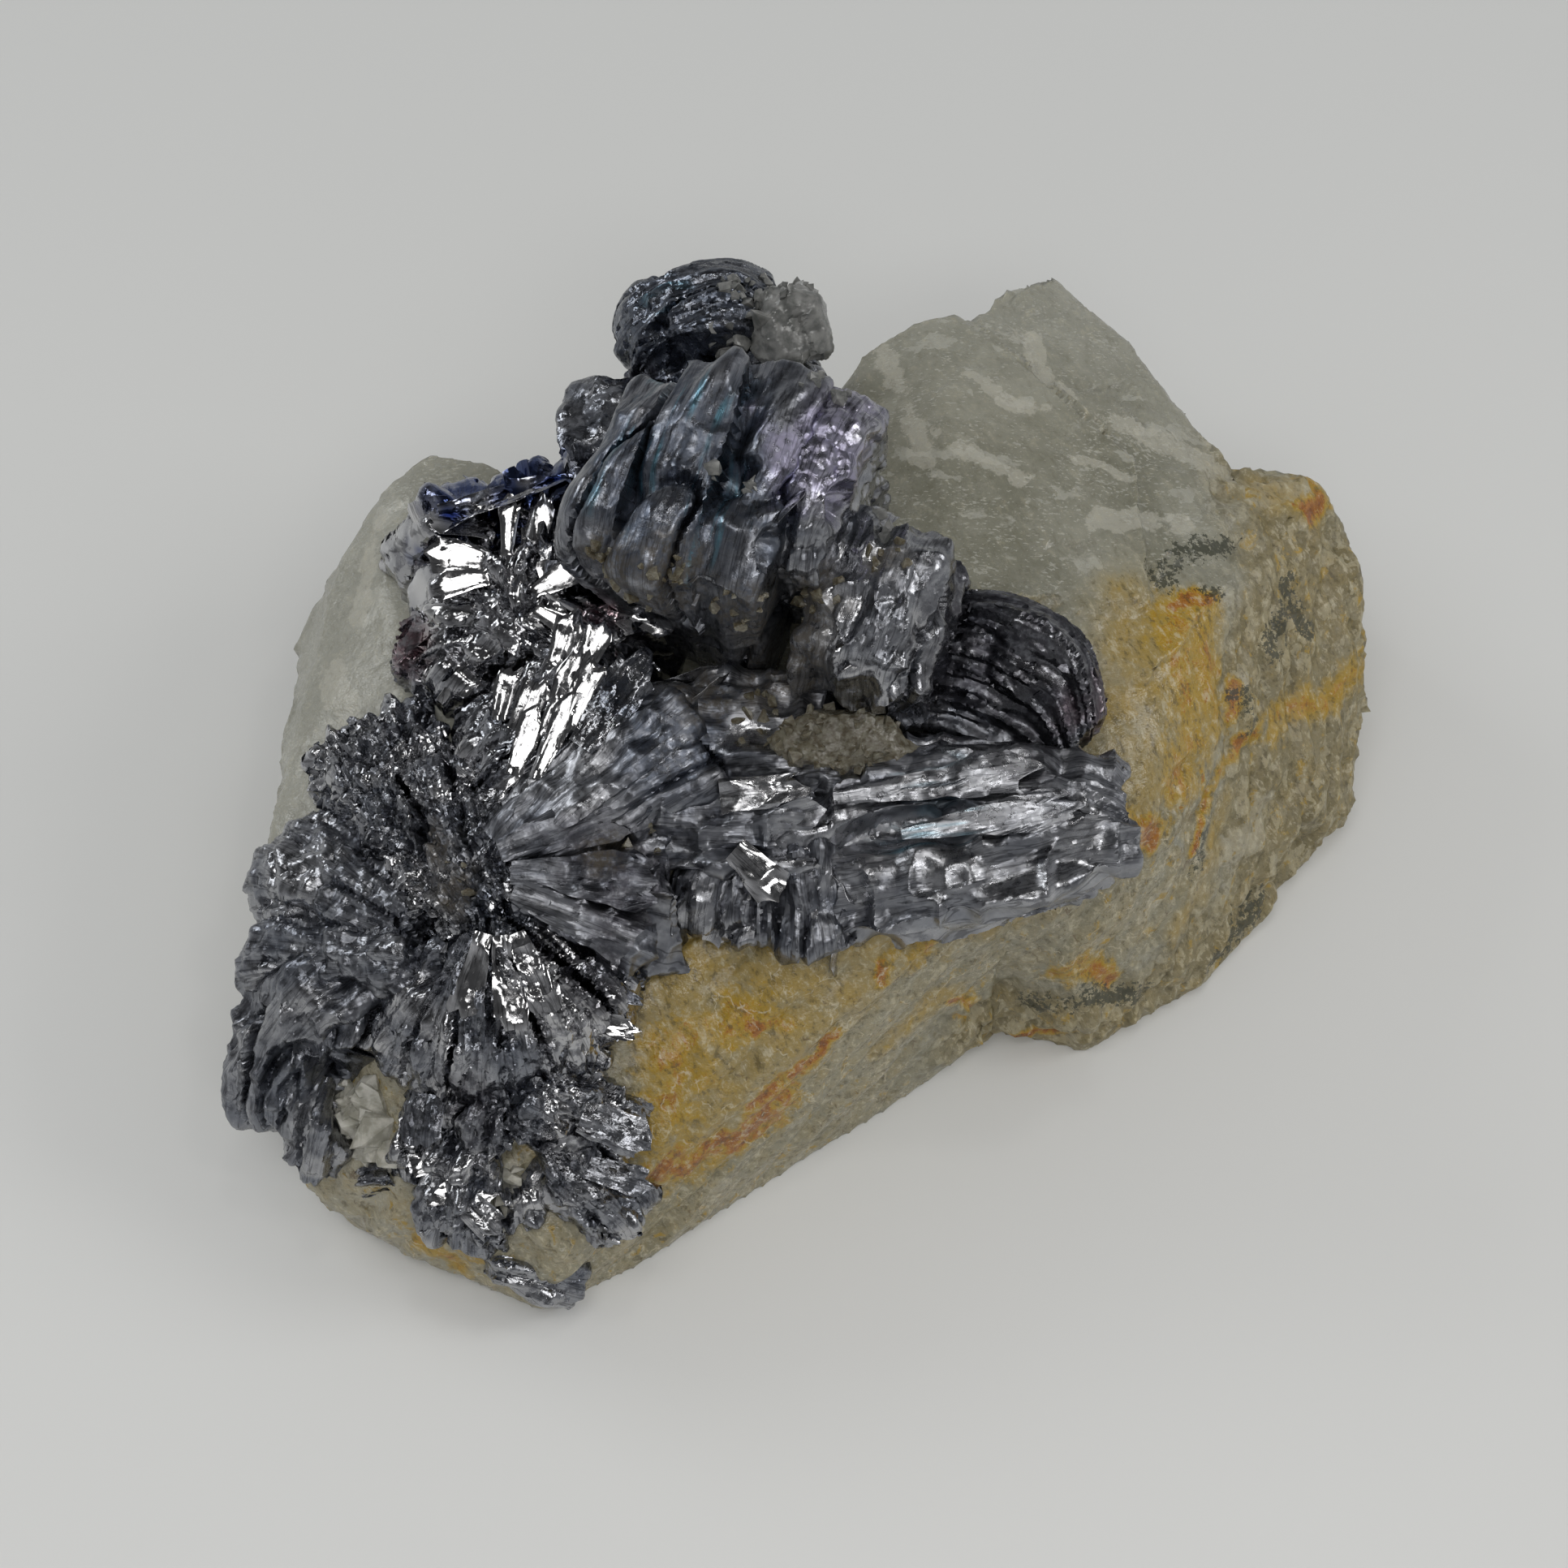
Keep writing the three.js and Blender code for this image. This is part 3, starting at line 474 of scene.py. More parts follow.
STREAKS = {
    "orange": [
        (0.65, (28.6, 13.4, 24.3), (30.2, 14.1, 23.5), (31.7, 14.1, 22.9)),
        (0.75, (31.7, 14.1, 22.9), (31.7, 11.1, 21.8), (32.9, 8.7, 18.9), (32.6, 5.9, 17.8),
         (32.1, 3.5, 15.9), (31, 0.5, 15)),
        (0.45, (30.2, 8, 21.7), (29.6, 3, 20), (28.9, -1, 17.6)),
        (0.45, (31.2, 4, 18.6), (30.4, 0, 15.8), (29.6, -3, 12.6)),
        (1, (36.7, 9.1, 14.2), (34.2, 6.4, 15.1), (32.5, 3.9, 15.7)),
        (1.4, (19.8, -7.5, 21.9), (22.2, -6.4, 20.6), (24.8, -4.7, 18.5), (26.7, -3.2, 17.9)),
        (1.2, (10.5, -12.8, 21.2), (12.2, -11.6, 22), (13.6, -10.8, 22.1)),
        (1.1, (20.4, -10.2, 9.8), (21.6, -9.9, 10.4), (23, -9.3, 9.6), (24.4, -9.1, 8)),
        (1.8, (-8.9, -25.8, 9.9), (-6.7, -25.4, 8.3), (-4.4, -24.2, 8.3), (-2.1, -22.6, 9),
         (-0.2, -21.6, 11.1)),
        (0.7, (-4.3, -19.8, 17.2), (-2.6, -19.3, 17.5)),
        (1.2, (39.8, 27.7, 18.2), (40.8, 25.9, 17.9), (39.5, 24.1, 18.3)),
        (0.8, (7.6, -14.5, 20.8), (5.5, -16.7, 17.7), (3.1, -18.5, 14.8), (1.1, -20.4, 13.9),
         (-2.1, -22, 12.5)),
        (0.9, (12.7, -12.4, 10.8), (14.1, -12.4, 5.9)),
        (0.6, (4, -17.8, 16.6), (5.1, -17.1, 15.5)),
        (1, (-23.6, -29.4, 5.9), (-21.9, -30, 5.1)),
        (0.8, (0.8, -20.6, 13.7), (2, -20, 13.5)),
        (0.6, (15, -12.2, 2), (19.9, -11.3, 1.6), (22.8, -11.5, 3.8)),
    ],
    "yellow": [
        (2.5, (29.2, 12.2, 23.8), (29.6, 6.6, 21.9), (29.6, 3.8, 20.7), (28.9, 0.6, 19.2)),
        (2.2, (30.9, 12.6, 23), (31, 8.3, 21.3), (31, 4, 18.9)),
        (1.9, (42.1, 13.5, 11.6), (39.2, 11.2, 13), (36.7, 9.1, 14.2)),
        (2, (-3.7, -18.7, 18.4), (-2, -17.6, 19.4)),
        (1.2, (-1.8, -18.8, 18), (-0.9, -18.5, 18.1)),
        (3.2, (-7.8, -20, 16.6), (-8.4, -23.3, 12.9), (-6.7, -25.3, 8.7)),
        (2.2, (40.6, 12.1, 12.2), (43.2, 14.4, 10.8)),
        (2, (21.5, -6.1, 22), (24.7, -4.4, 19.6)),
        (1, (-26.1, -29.2, 4.5), (-23.3, -30, 2.7)),
        (1.8, (9.4, -14.1, 18.7), (11.1, -12.9, 20.2)),
    ],
    "cream": [
        (5.5, (27, 9.5, 24.3), (26.6, 4.5, 23.4), (26.5, 0, 21.9)),
        (7, (-7.2, -15.4, 20.1), (-6, -20.1, 16.8), (-6.1, -23.8, 11.2)),
        (7, (-0.3, -14.9, 21.5), (-0.3, -19.1, 17.3)),
        (4.5, (5.3, -14.8, 21.4), (4.2, -17.1, 18.3)),
        (3, (25.3, -3.7, 20), (21.1, -7.4, 19.6), (16.5, -9.3, 18.3)),
        (2.2, (6.7, -16.3, 10.1), (9.7, -14.2, 11), (12.6, -12, 12)),
        (1.8, (33, 1.7, 12.9), (31.8, -1.8, 10.5), (29.3, -6.1, 8.3)),
        (3, (-25.9, -28.4, 7.2), (-21.5, -30.6, 3.3), (-15.4, -31.6, 5.9)),
        (3, (36.9, 25.6, 19.9), (39.5, 24.5, 18.3)),
        (4, (8, -13.5, 20), (14, -10, 19.5)),
    ],
    "veil": [
        (1.5, (19.5, 36.5, 24.9), (20.1, 33.7, 25.6), (22.3, 29.1, 26), (26.1, 28.6, 24.1),
         (29.3, 28.3, 22.7), (33.1, 26.7, 21.5)),
        (1.3, (22.5, 18.9, 26.3), (24.2, 18.8, 25.9), (26.1, 19.5, 25.5), (29.5, 20.1, 23.4)),
        (1.2, (7.8, 34, 25.7), (9.3, 27, 27.4), (11, 21.2, 27.2)),
        (0.9, (14.3, 32, 27.3), (16.7, 29.4, 27.1), (19.1, 27.9, 26.6)),
        (1.8, (35.2, 25.3, 20.9), (39, 26.1, 18.6)),
        (1.3, (-30.1, 23, 20.4), (-31.2, 18.4, 20.6), (-31.8, 14.1, 20.4)),
        (1.5, (-33.5, 10, 19.1), (-32, 6.1, 19.7)),
        (0.9, (12.9, 23.8, 27.7), (16.5, 22, 27.1)),
        (0.8, (22.1, 24.8, 26.3), (26.3, 23.4, 25.1)),
        (1, (22.9, -8.2, 11.7), (27.2, -5.4, 12.1), (30.3, -2.3, 12.7)),
        (1.5, (33.9, 0.1, 9.6), (36.5, 3.5, 9.8)),
        (2.2, (-30.9, -20.3, 13.2), (-30.4, -23.7, 10.9), (-28.6, -26.8, 7.4)),
        (1, (32, 8.3, 19.6), (34.1, 9.9, 18.1)),
    ],
    "dark": [
        (1.3, (28.4, 15.6, 24.3), (29.9, 17.8, 23.4), (32.5, 19.8, 22.5)),
        (0.6, (30.7, 14.8, 23.2), (32.1, 15, 22.7)),
        (1, (38.4, 18.5, 18.3), (39.9, 17.1, 15.9)),
        (1.2, (33.4, 8.5, 18), (34.2, 7.1, 15.8)),
        (1.4, (18.4, -10.5, 5.5), (22.5, -11, 7.2), (26.5, -8.8, 4.8)),
        (1.4, (33.2, -4.6, 2.6), (35.9, -1.2, 2.8)),
        (1.2, (37.7, 15.9, 17.8), (36.2, 13.5, 18)),
        (1, (30.9, -1.2, 13.2), (30.5, -3.4, 10.8)),
    ],
}


def masks_of(table, strength):
    """The strongest mark of each kind at each point."""
    masks = {}
    for kind, marks in table.items():
        masks[kind] = functools.reduce(np.maximum, [strength(*mark) for mark in marks])
    return masks


def streak_masks(points):
    """How far each point is inside each kind of stain or veil, 0 to 1, with wandering edges."""
    wandering = points + 1.9 * swirl(points, 4.2, (3, 5, 8), 4)

    def strength(half_width, *line):
        return 1 - smoothstep(0.1, 1.9, distance_to_line(wandering, line) / half_width)

    return masks_of(STREAKS, strength)


def chiselled(points, faces, size, strength, limit, salt, spread):
    """Draws each patch of the surface towards its own plane, so that it breaks into facets."""
    normals = vertex_normals(points, faces)
    warp = swirl(points, 1.3 * size, (salt, salt + 1, salt + 2), 1)
    patch = cells(points + 0.35 * size * warp + spread * normals, size, salt)
    count = np.bincount(patch)
    middle = np.stack([np.bincount(patch, points[:, n]) / count for n in range(3)], 1)
    facing = unit(np.stack([np.bincount(patch, normals[:, n]) for n in range(3)], 1))
    off = ((middle[patch] - points) * facing[patch]).sum(1)
    move = np.clip(strength * off, -limit, limit)
    return points + facing[patch] * move[:, None]


def convex_hull(corners):
    made = bmesh.new()
    for corner in corners:
        made.verts.new(corner)
    return made, bmesh.ops.convex_hull(made, input=made.verts)


def block_faces(corners):
    """Outward directions and distances from the heart of the flat faces of a block."""
    made, _ = convex_hull(corners)
    made.normal_update()
    facing = np.array([face.normal for face in made.faces])
    middle = np.array([face.calc_center_median() for face in made.faces])
    made.free()
    turn = np.where(((middle - np.mean(corners, 0)) * facing).sum(1) < 0, -1, 1)
    facing = facing * turn[:, None]
    return facing, ((middle - QUARTZ_HEART) * facing).sum(1)


def broken_faces(points):
    """Moves points near the lump's surface out or in to the flat faces of its blocks."""
    ray = unit(points - QUARTZ_HEART)
    reach = np.zeros(len(points))
    for corners in QUARTZ_BLOCKS.values():
        facing, distance = block_faces(corners)
        slope = ray @ facing.T
        slope = np.where(np.abs(slope) < 1e-9, 1e-9, slope)
        hit = distance / slope
        leave = np.where(slope > 0, hit, np.inf).min(1)
        enter = np.where(slope < 0, hit, 0).max(1)
        reach = np.maximum(reach, np.where(leave > enter, leave, 0))
    return QUARTZ_HEART + ray * reach[:, None]


FRONT_SEAMS = (9.7, 7.5, 8.3)  # the way that the cracks of the front face run
WALL_SEAMS = (0.6, -5.0, -3.6)  # and those of the weathered right wall


def quartz_surface():
    """The lump's broken surface, and how weathered or how stained in front each point is."""
    points, faces = remeshed(*node_mesh("quartz_matrix"), LUMP_NET)
    floor = points[:, 2].min()
    loose = smoothstep(0.3, 2.0, points[:, 2] - floor)[:, None]  # the cut underneath stays flat
    start = points
    points = points + np.clip(broken_faces(points) - points, -BREAK_REACH, BREAK_REACH) * loose
    points = smoothed(points, faces, 1)
    points = chiselled(points, faces, 6.0, 0.55, 0.4, 23, 5.0)
    normals = vertex_normals(points, faces)
    x, y, z = (points + 3.5 * swirl(points, 9.0, (41, 43, 47))).T
    weathered = smoothstep(29, 36, x) * smoothstep(24, 19, z) * smoothstep(34, 24, y)
    weathered = np.maximum(weathered, smoothstep(12, 6, z) * smoothstep(8, 16, x) * smoothstep(24, 14, y))
    front = smoothstep(-0.25, -0.5, normals[:, 1]) * (1 - weathered)
    back = smoothstep(0.2, 0.6, np.maximum(normals[:, 1], -normals[:, 0]))
    back = back * smoothstep(0.6, 0.3, normals[:, 2])
    lying = lying_along(points, FRONT_SEAMS)
    seams = plates(lying, (9, 2.2, 2.2), 61, 0.9) + 0.35 * plates(lying, (4, 1, 1), 63, 1.2)
    lying = lying_along(points, WALL_SEAMS)
    wall = plates(lying, (5, 1.9, 1.9), 65, 1.5) + 0.5 * plates(lying, (2.2, 0.9, 0.9), 67, 1.5)
    top = plates(points, (7, 3.6, 7), 69, 0.5) + 0.35 * plates(points, (3, 1.2, 3), 71, 0.8)
    height = 0.05 * fractal(points, 2.2, 31) + 0.6 * front * seams + 0.7 * weathered * wall
    height += (0.2 + 0.5 * back) * (1 - front) * (1 - weathered) * top
    points = start * (1 - loose) + (points + normals * height[:, None]) * loose
    points[:, 2] = np.maximum(points[:, 2], floor)
    return points, faces, weathered, front


def quartz_material(name, stained):
    """Grey-green milky quartz with pale flecks; the lump also has veils, iron stains and lichen."""
    n = Nodes(name)
    cloud = n.noise(0.11, 4, distortion=0.6)
    wash = n.noise(0.5, 5, stretch=(0.6, 1.0, 1.4), roughness=0.66)
    crowd = (n.noise(0.22, 3) - 0.5) * 0.4
    large = n.noise(1.7, 4, stretch=(0.45, 1.25, 1.25), roughness=0.6) + crowd
    small = n.noise(4.4, 2, stretch=(0.5, 1.2, 1.2)) + crowd
    flecks = n.larger(n.between(large, 0.65, 0.69, 0, 0.5), n.between(small, 0.63, 0.67, 0, 0.6))
    bent = n.math_vector("ADD", n.place, n.wander(0.9, 4, 1.6))
    shard, shade, _ = n.parts(n.cell_colour(0.62, n.math_vector("MULTIPLY", bent, (0.5, 1.2, 1.2))))
    flakes = n.between(shard + (wash - 0.5) * 0.35, 0.93, 0.96, 0, 0.45)
    x, y, _ = n.parts(n.place)
    end = n.larger(n.between(x, -14.0, -34.0, 0, 0.42), n.between(y, 20.0, 33.0, 0, 0.36))
    colour = n.mix(n.between(cloud, 0.35, 0.65), (0.20, 0.197, 0.15), (0.295, 0.29, 0.235))
    colour = n.mix(n.between(wash, 0.45, 0.75, 0, 0.3), colour, (0.36, 0.35, 0.285))
    colour = n.mix(n.between(shade, 0.0, 1.0, 0.0, 0.3), colour, (0.17, 0.167, 0.125))
    colour = n.mix(end, colour, (0.43, 0.43, 0.385))
    colour = n.mix(n.larger(flecks, flakes), colour, (0.46, 0.455, 0.40))
    rough = n.between(wash, 0.3, 0.7, 0.17, 0.32)
    if stained:
        colour = n.mix(n.between(n.noise(2.6, 3), 0.3, 0.7, 0.5, 1.0), colour, (0.075, 0.06, 0.036))
    else:
        colour = weathered_colour(n, colour, bent, shade, flecks, x)
        rough = n.math("ADD", rough, n.value("weathered") * 0.2, clamp=True)
    dents = n.bump(n.noise(3.4, 3, roughness=0.7), 0.45, 0.07)
    wide = n.bump(n.noise(0.7, 4, stretch=(0.7, 1, 1.3), roughness=0.66), 0.55, 0.3, Normal=dents)
    n.set(Base_Color=colour, Roughness=rough, Normal=wide, IOR=1.545, Specular_IOR_Level=0.5)
    n.set(Subsurface_Weight=0.3, Subsurface_Radius=(1.0, 0.88, 0.62), Subsurface_Scale=0.0014)
    return n.material


RISING = (0.35, 0.25, 0.65)  # turn of the streaks on the lump's left
STEEP = (0.78, 0, 0)  # and on its right
RUST_COLOURS = (  # from a thin stain to a thick crust
    (0.05, (0.30, 0.26, 0.14)), (0.36, (0.33, 0.235, 0.066)), (0.60, (0.385, 0.245, 0.02)),
    (0.88, (0.35, 0.135, 0.01)), (1.2, (0.19, 0.052, 0.006)),
)


def weathered_colour(n, colour, bent, shade, flecks, x):
    """The lump's colour with its weathered wall, iron stains, veils, cracks and lichen."""
    weathered, front = n.value("weathered"), n.value("front")
    steep = n.noise(0.9, 4, vector=n.streaked(STEEP, 0.28), roughness=0.68)
    slant = n.noise(0.9, 4, vector=n.streaked(RISING, 0.28), roughness=0.68)
    side = n.between(x, 14.0, 22.0)
    streak = steep * side + slant * (1.0 - side) - 0.5
    speck = n.noise(2.4, 3, roughness=0.75) - 0.5
    loose = n.noise(0.8, 4, roughness=0.68, distortion=0.8) - 0.5

    def broken(value, by_streak, by_speck, by_loose):
        """A mask whose edge is broken up by the patterns, and is nothing where the mask is."""
        gate = n.between(value, 0.0, 0.5)
        return value + streak * gate * by_streak + speck * gate * by_speck + loose * gate * by_loose

    worn = weathered + (speck + loose) * 1.3
    colour = n.mix(n.between(worn, 0.45, 1.1, 0, 0.6), colour, (0.125, 0.108, 0.056))
    colour = n.mix(weathered * 0.38, colour, (0.17, 0.13, 0.05))
    chunk, tone, _ = n.parts(n.cell_colour(1.1, n.math_vector("MULTIPLY", bent, (1.3, 0.8, 0.8))))
    colour = n.mix(weathered * n.between(chunk, 0.62, 0.65, 0, 0.5), colour, (0.50, 0.465, 0.345))
    colour = n.mix(weathered * n.between(tone, 0.66, 0.70, 0, 0.5), colour, (0.085, 0.076, 0.04))
    pale = weathered + (steep - 0.5) * 3.0 + speck * 1.6
    colour = n.mix(n.between(pale, 1.2, 1.55, 0, 0.7), colour, (0.43, 0.40, 0.29))
    rust = n.between(loose + steep * 0.6, 0.32, 0.5, 0, 0.42) * n.larger(weathered, front)
    iron = n.larger(n.value("cream") * 0.36, broken(n.value("yellow"), 1.0, 0.4, 0.9) * 0.62,
                    broken(n.value("orange"), 1.8, 0.6, 0.5) * 0.95, rust, n.larger(front, weathered) * 0.2)
    iron = iron * n.between(shade, 0.0, 1.0, 1.08, 0.88)
    iron = iron + streak * n.between(iron, 0, 0.3) * 0.35
    vein = n.math("ABSOLUTE", steep + speck * 0.2 - 0.5)
    iron = iron + n.between(vein, 0.0, 0.016, 0.4, 0) * n.between(iron, 0.35, 0.7)
    veil = broken(n.value("veil"), 0.3, 0.35, 0.8) + shade * 0.3
    colour = n.mix(n.between(veil, 0.72, 0.86, 0, 0.5), colour, (0.48, 0.465, 0.395))
    colour = n.mix(n.between(iron, 0.0, 0.45, 0, 0.95), colour, n.ramp(iron, RUST_COLOURS))
    colour = n.mix(flecks * n.between(iron, 0.1, 0.6, 0, 0.35), colour, (0.55, 0.46, 0.27))
    grit = n.noise(1.7, 4, vector=n.streaked(RISING, 0.45), roughness=0.74)
    gritty = n.math("ADD", n.larger(weathered, n.between(iron, 0.0, 0.3), front) * 0.7, 0.3, clamp=True)
    colour = n.mix(gritty * n.between(grit, 0.53, 0.66, 0, 0.5), colour, (0.56, 0.51, 0.37))
    colour = n.mix(gritty * n.between(grit, 0.48, 0.33, 0, 0.65), colour, (0.085, 0.068, 0.03))
    spread = n.math_vector("ADD", n.streaked(RISING, 0.3), n.wander(0.6, 4, 2.0))
    net = n.add("TexVoronoi", {"feature": "DISTANCE_TO_EDGE"}, Vector=spread, Scale=0.33)
    cracked = n.between(n.number(net, "Distance"), 0.0, 0.022, 0.75, 0) * front
    colour = n.mix(cracked * n.between(loose, -0.05, 0.1), colour, (0.56, 0.50, 0.36))
    colour = n.mix(cracked * n.between(loose, -0.02, -0.14), colour, (0.11, 0.07, 0.03))
    lichen = broken(n.value("dark"), 0.8, 3.8, 1.8)
    return n.mix(n.between(lichen, 0.6, 0.8, 0, 0.85), colour, (0.045, 0.048, 0.032))


def clear_quartz_material(name, dull, bright, through):
    """Grey glassy quartz with milky clouds inside its small crystals."""
    n = Nodes(name)
    milk = n.noise(1.1, 4)
    colour = n.mix(n.between(milk, 0.35, 0.65), dull, bright)
    dents = n.bump(n.noise(2.6, 4), 0.35, 0.08)
    n.set(Base_Color=colour, Roughness=n.between(milk, 0.3, 0.7, 0.10, 0.24), Normal=dents, IOR=1.545)
    n.set(Transmission_Weight=through, Subsurface_Weight=0.2, Subsurface_Radius=(1.0, 0.95, 0.85),
          Subsurface_Scale=0.001)
    return n.material


# ---- molybdenite ----------------------------------------------------------------------
# The packs of leaves: the crest runs from one point to the other, `wide` is the thickness
# at those ends, `deep` the depth of the leaves, `lean` their tilt about the crest.


def pack(start, end, wide, deep, **more):
    """One pack: `ends` and `tuck` draw the ends down and in, `foot` widens the foot of the leaves."""
    shape = dict(lean=0, ends=(0, 0), tuck=(0, 0), arch=0, bow=0, dome=0, foot=1)
    shape.update(more, start=np.array(start, float), end=np.array(end, float), wide=wide, deep=deep)
    return shape


fanned = functools.partial(pack, ends=(0, 1.5), dome=1, foot=1.1)  # one of a fan of packs

PACKS = {
    "tower": [
        pack((-13, 4.2, 45.4), (-8.2, 15.6, 48.5), (4.8, 5), 23, lean=-6, ends=(1.4, 2), tuck=(1, 3),
             dome=1.2, foot=0.8),
        pack((-9.2, 1.6, 46), (-4.4, 16.4, 49.8), (5.8, 5.6), 25, lean=-3, ends=(1.6, 1.5), tuck=(1.4, 3),
             dome=0.8, foot=0.85),
        pack((-4.8, 0.4, 46), (0.2, 16.4, 49.8), (5.8, 6), 25, lean=2, ends=(1.8, 2), tuck=(1.6, 4),
             dome=0.8, foot=0.85),
    ],
    "tower_side": [
        pack((-0.8, 3, 44), (4, 14.6, 48.4), (5.2, 4.8), 20, lean=-2, ends=(2.4, 2.5), tuck=(1.6, 4), arch=1,
             dome=1.5, foot=0.6),
    ],
    "right_boss": [
        pack((2.2, -2.6, 36), (6.6, 7.6, 42.5), (8, 7.5), 17, lean=-8, ends=(4, 2), tuck=(1, 3), arch=1,
             dome=1.5, bow=0.8, foot=0.8),
        pack((8.4, -3, 35), (9, 6.8, 40.5), (4, 4), 15, lean=14, ends=(3, 2), tuck=(1, 2), dome=0.8,
             foot=0.9),
    ],
    "back_rosette": [
        pack((-12.8, 30.4, 34), (-1.8, 32.4, 37.6), (7, 6.5), 15, lean=-8, arch=1.6, ends=(2, 2),
             tuck=(2, 2), dome=1.2, foot=0.8),
        pack((-11.6, 25.6, 33), (2.4, 27.6, 34.5), (5, 5), 13, lean=10, ends=(1.5, 2), dome=0.6),
    ],
    "edgewise_stack": [
        pack((-16.4, 25.6, 28.5), (-14, 12, 28.5), (9, 9), 10, lean=90, ends=(1.5, 1), foot=0.9),
    ],
    "mirror_rosette": [
        fanned((-18, 9.4, 29), (-25.8, 14, 27.5), (4, 8), 9, lean=18),
        fanned((-18.6, 9, 29), (-23.4, 20, 30), (4, 8), 9, lean=12),
        fanned((-18.4, 9, 30), (-16, 20, 31.5), (4, 8), 10, lean=-8),
        fanned((-18.6, 10, 29), (-24.4, 4.6, 26.5), (4, 7), 8, lean=-14),
        fanned((-18.8, 10, 29), (-12.9, 4.4, 31), (4, 8), 10, lean=20),
    ],
    "left_lump": [
        pack((-23.4, 7.2, 26.5), (-27.7, 10, 24.5), (5, 4.5), 6, ends=(0, 1.5), dome=1.2, foot=1.1),
    ],
    "foil_zone": [
        pack((-13.4, 4.4, 31), (-23.8, 0.2, 26.5), (7, 8), 8, lean=25, ends=(0, 1.5), dome=0.8),
        pack((-12, 0.6, 31), (-22, -6, 27.5), (7, 7), 8, lean=-15, ends=(0, 1), dome=0.6),
    ],
    "grey_ridge": [
        pack((-21, -10.2, 28.6), (-7.6, 0.4, 32), (5, 6), 9, lean=-12, ends=(1, 0), dome=0.8, foot=1.1),
        pack((-18.8, -11.4, 28.4), (-5.6, -4, 31), (4, 5), 8, lean=18, ends=(1, 0), dome=0.6, foot=1.1),
    ],
    "middle_ridge": [
        pack((-12, -1.8, 30.2), (3.2, -1.6, 31), (10, 9), 9, lean=6, dome=1, foot=1.1),
        pack((-9.6, -8, 28.8), (2.4, -8.4, 29.6), (6, 6), 8, lean=22, dome=0.8, foot=1.1),
    ],
    "lath_bundle": [
        pack((-1, -5.8, 28.4), (23.8, -5.2, 30.6), (7, 5), 9, lean=-8, arch=1.4, ends=(1, 1.5), tuck=(0, 4),
             dome=1, foot=0.9, bow=-1),
        pack((2.2, -11.6, 26.4), (24, -8.4, 29.6), (8, 5), 9, lean=12, arch=1.2, ends=(1, 1.5), tuck=(0, 5),
             dome=1.2, foot=0.85, bow=0.8),
    ],
    "dark_petal": [
        pack((10.4, 9.4, 31), (23.4, 1.8, 31), (4, 3.5), 12.5, lean=-50, ends=(1.5, 2.5), tuck=(1, 4),
             arch=2, dome=0.4),
    ],
    "fan_centre": [
        pack((-20.6, -14.4, 27.6), (-30, 3.2, 25), (6, 9), 8, ends=(0, 1), dome=1.2, foot=1.1),
        pack((-20, -13.4, 28), (-24.4, -2.4, 27.4), (5, 8), 8, lean=-15, dome=1, foot=1.1),
    ],
    "left_lobe": [
        pack((-26, -13, 26), (-36, -3.8, 21.8), (5, 10), 8, ends=(0, 1.5), dome=1.5, foot=1.1),
        pack((-26.4, -15.4, 25.4), (-38.6, -11, 19.6), (5, 8), 8, lean=-8, ends=(0, 1.5), dome=1.2, foot=1.1),
    ],
    "lower_left_bundle": [
        pack((-31.8, -14.6, 22), (-39.6, -22.6, 11), (8, 5.5), 8, lean=12, arch=1.8, ends=(1, 1.5), dome=1.4,
             bow=0.8),
        pack((-29.6, -16, 21), (-34.4, -26.6, 8.5), (7, 5), 7, lean=-12, arch=1.4, ends=(1, 1), dome=1.2),
    ],
    "bottom_fan": [
        fanned((-20.6, -15, 27), (-29, -21, 17.5), (3, 8), 7, arch=1),
        fanned((-20.2, -15.4, 27.4), (-22.8, -25.4, 19), (3, 8), 8, arch=1.2),
        fanned((-19.4, -15.2, 27.4), (-15.6, -24, 20), (3, 8), 8, arch=1.2),
        fanned((-18.6, -14.2, 27.4), (-10.2, -19.4, 21), (3, 8), 7, arch=1),
    ],
    "centre_plates": [
        pack((-18.4, -11.8, 28.4), (-7.8, -9.6, 28.6), (5, 7), 8, lean=-14, ends=(0, 1), dome=0.8, foot=1.1),
        pack((-17.6, -13, 28), (-8.8, -15.8, 25), (4, 6), 8, lean=22, ends=(0, 1), dome=0.8, foot=1.1),
    ],
    "edge_plates": [
        pack((-4.8, -8.4, 28), (-6.4, -14, 24.4), (4, 5), 6, ends=(0, 1), dome=0.8),
        pack((-1.4, -8.6, 28), (-2, -15.6, 24.6), (4, 4.5), 6, ends=(0, 1), dome=0.8),
        pack((2, -9.4, 28), (2.8, -16.2, 24.6), (4, 6), 6, ends=(0, 1), dome=0.8),
    ],
    "foot_rosette": [
        pack((-25.6, -22, 18), (-26.2, -27.6, 11), (4, 4), 6, ends=(0, 1), dome=0.8),
        pack((-21, -24.6, 19), (-23.8, -31.8, 8.5), (5, 7), 6, arch=1, ends=(0, 1.5), dome=1),
        pack((-20, -24.6, 19), (-18.6, -31, 10), (5, 6), 6, arch=1, ends=(0, 1), dome=1),
        pack((-17, -23, 20), (-9.4, -25.2, 15), (5, 7), 7, ends=(0, 1), dome=1),
        pack((-18, -25.8, 18), (-10, -29.6, 10.4), (4, 6), 6, ends=(0, 1), dome=1),
    ],
    "foot_crystal": [
        pack((-20, -32.2, 6.8), (-14.4, -32.6, 3.6), (2.5, 3.5), 3, lean=30, ends=(0.8, 0.8), dome=0.4),
    ],
    "left_crystal": [
        pack((-31.4, -26.4, 9.8), (-28.2, -26.4, 11.2), (1.8, 2.2), 3.2, lean=10, ends=(0.6, 0.4), dome=0.3),
    ],
}

UP = np.array([0.0, 0.0, 1.0])


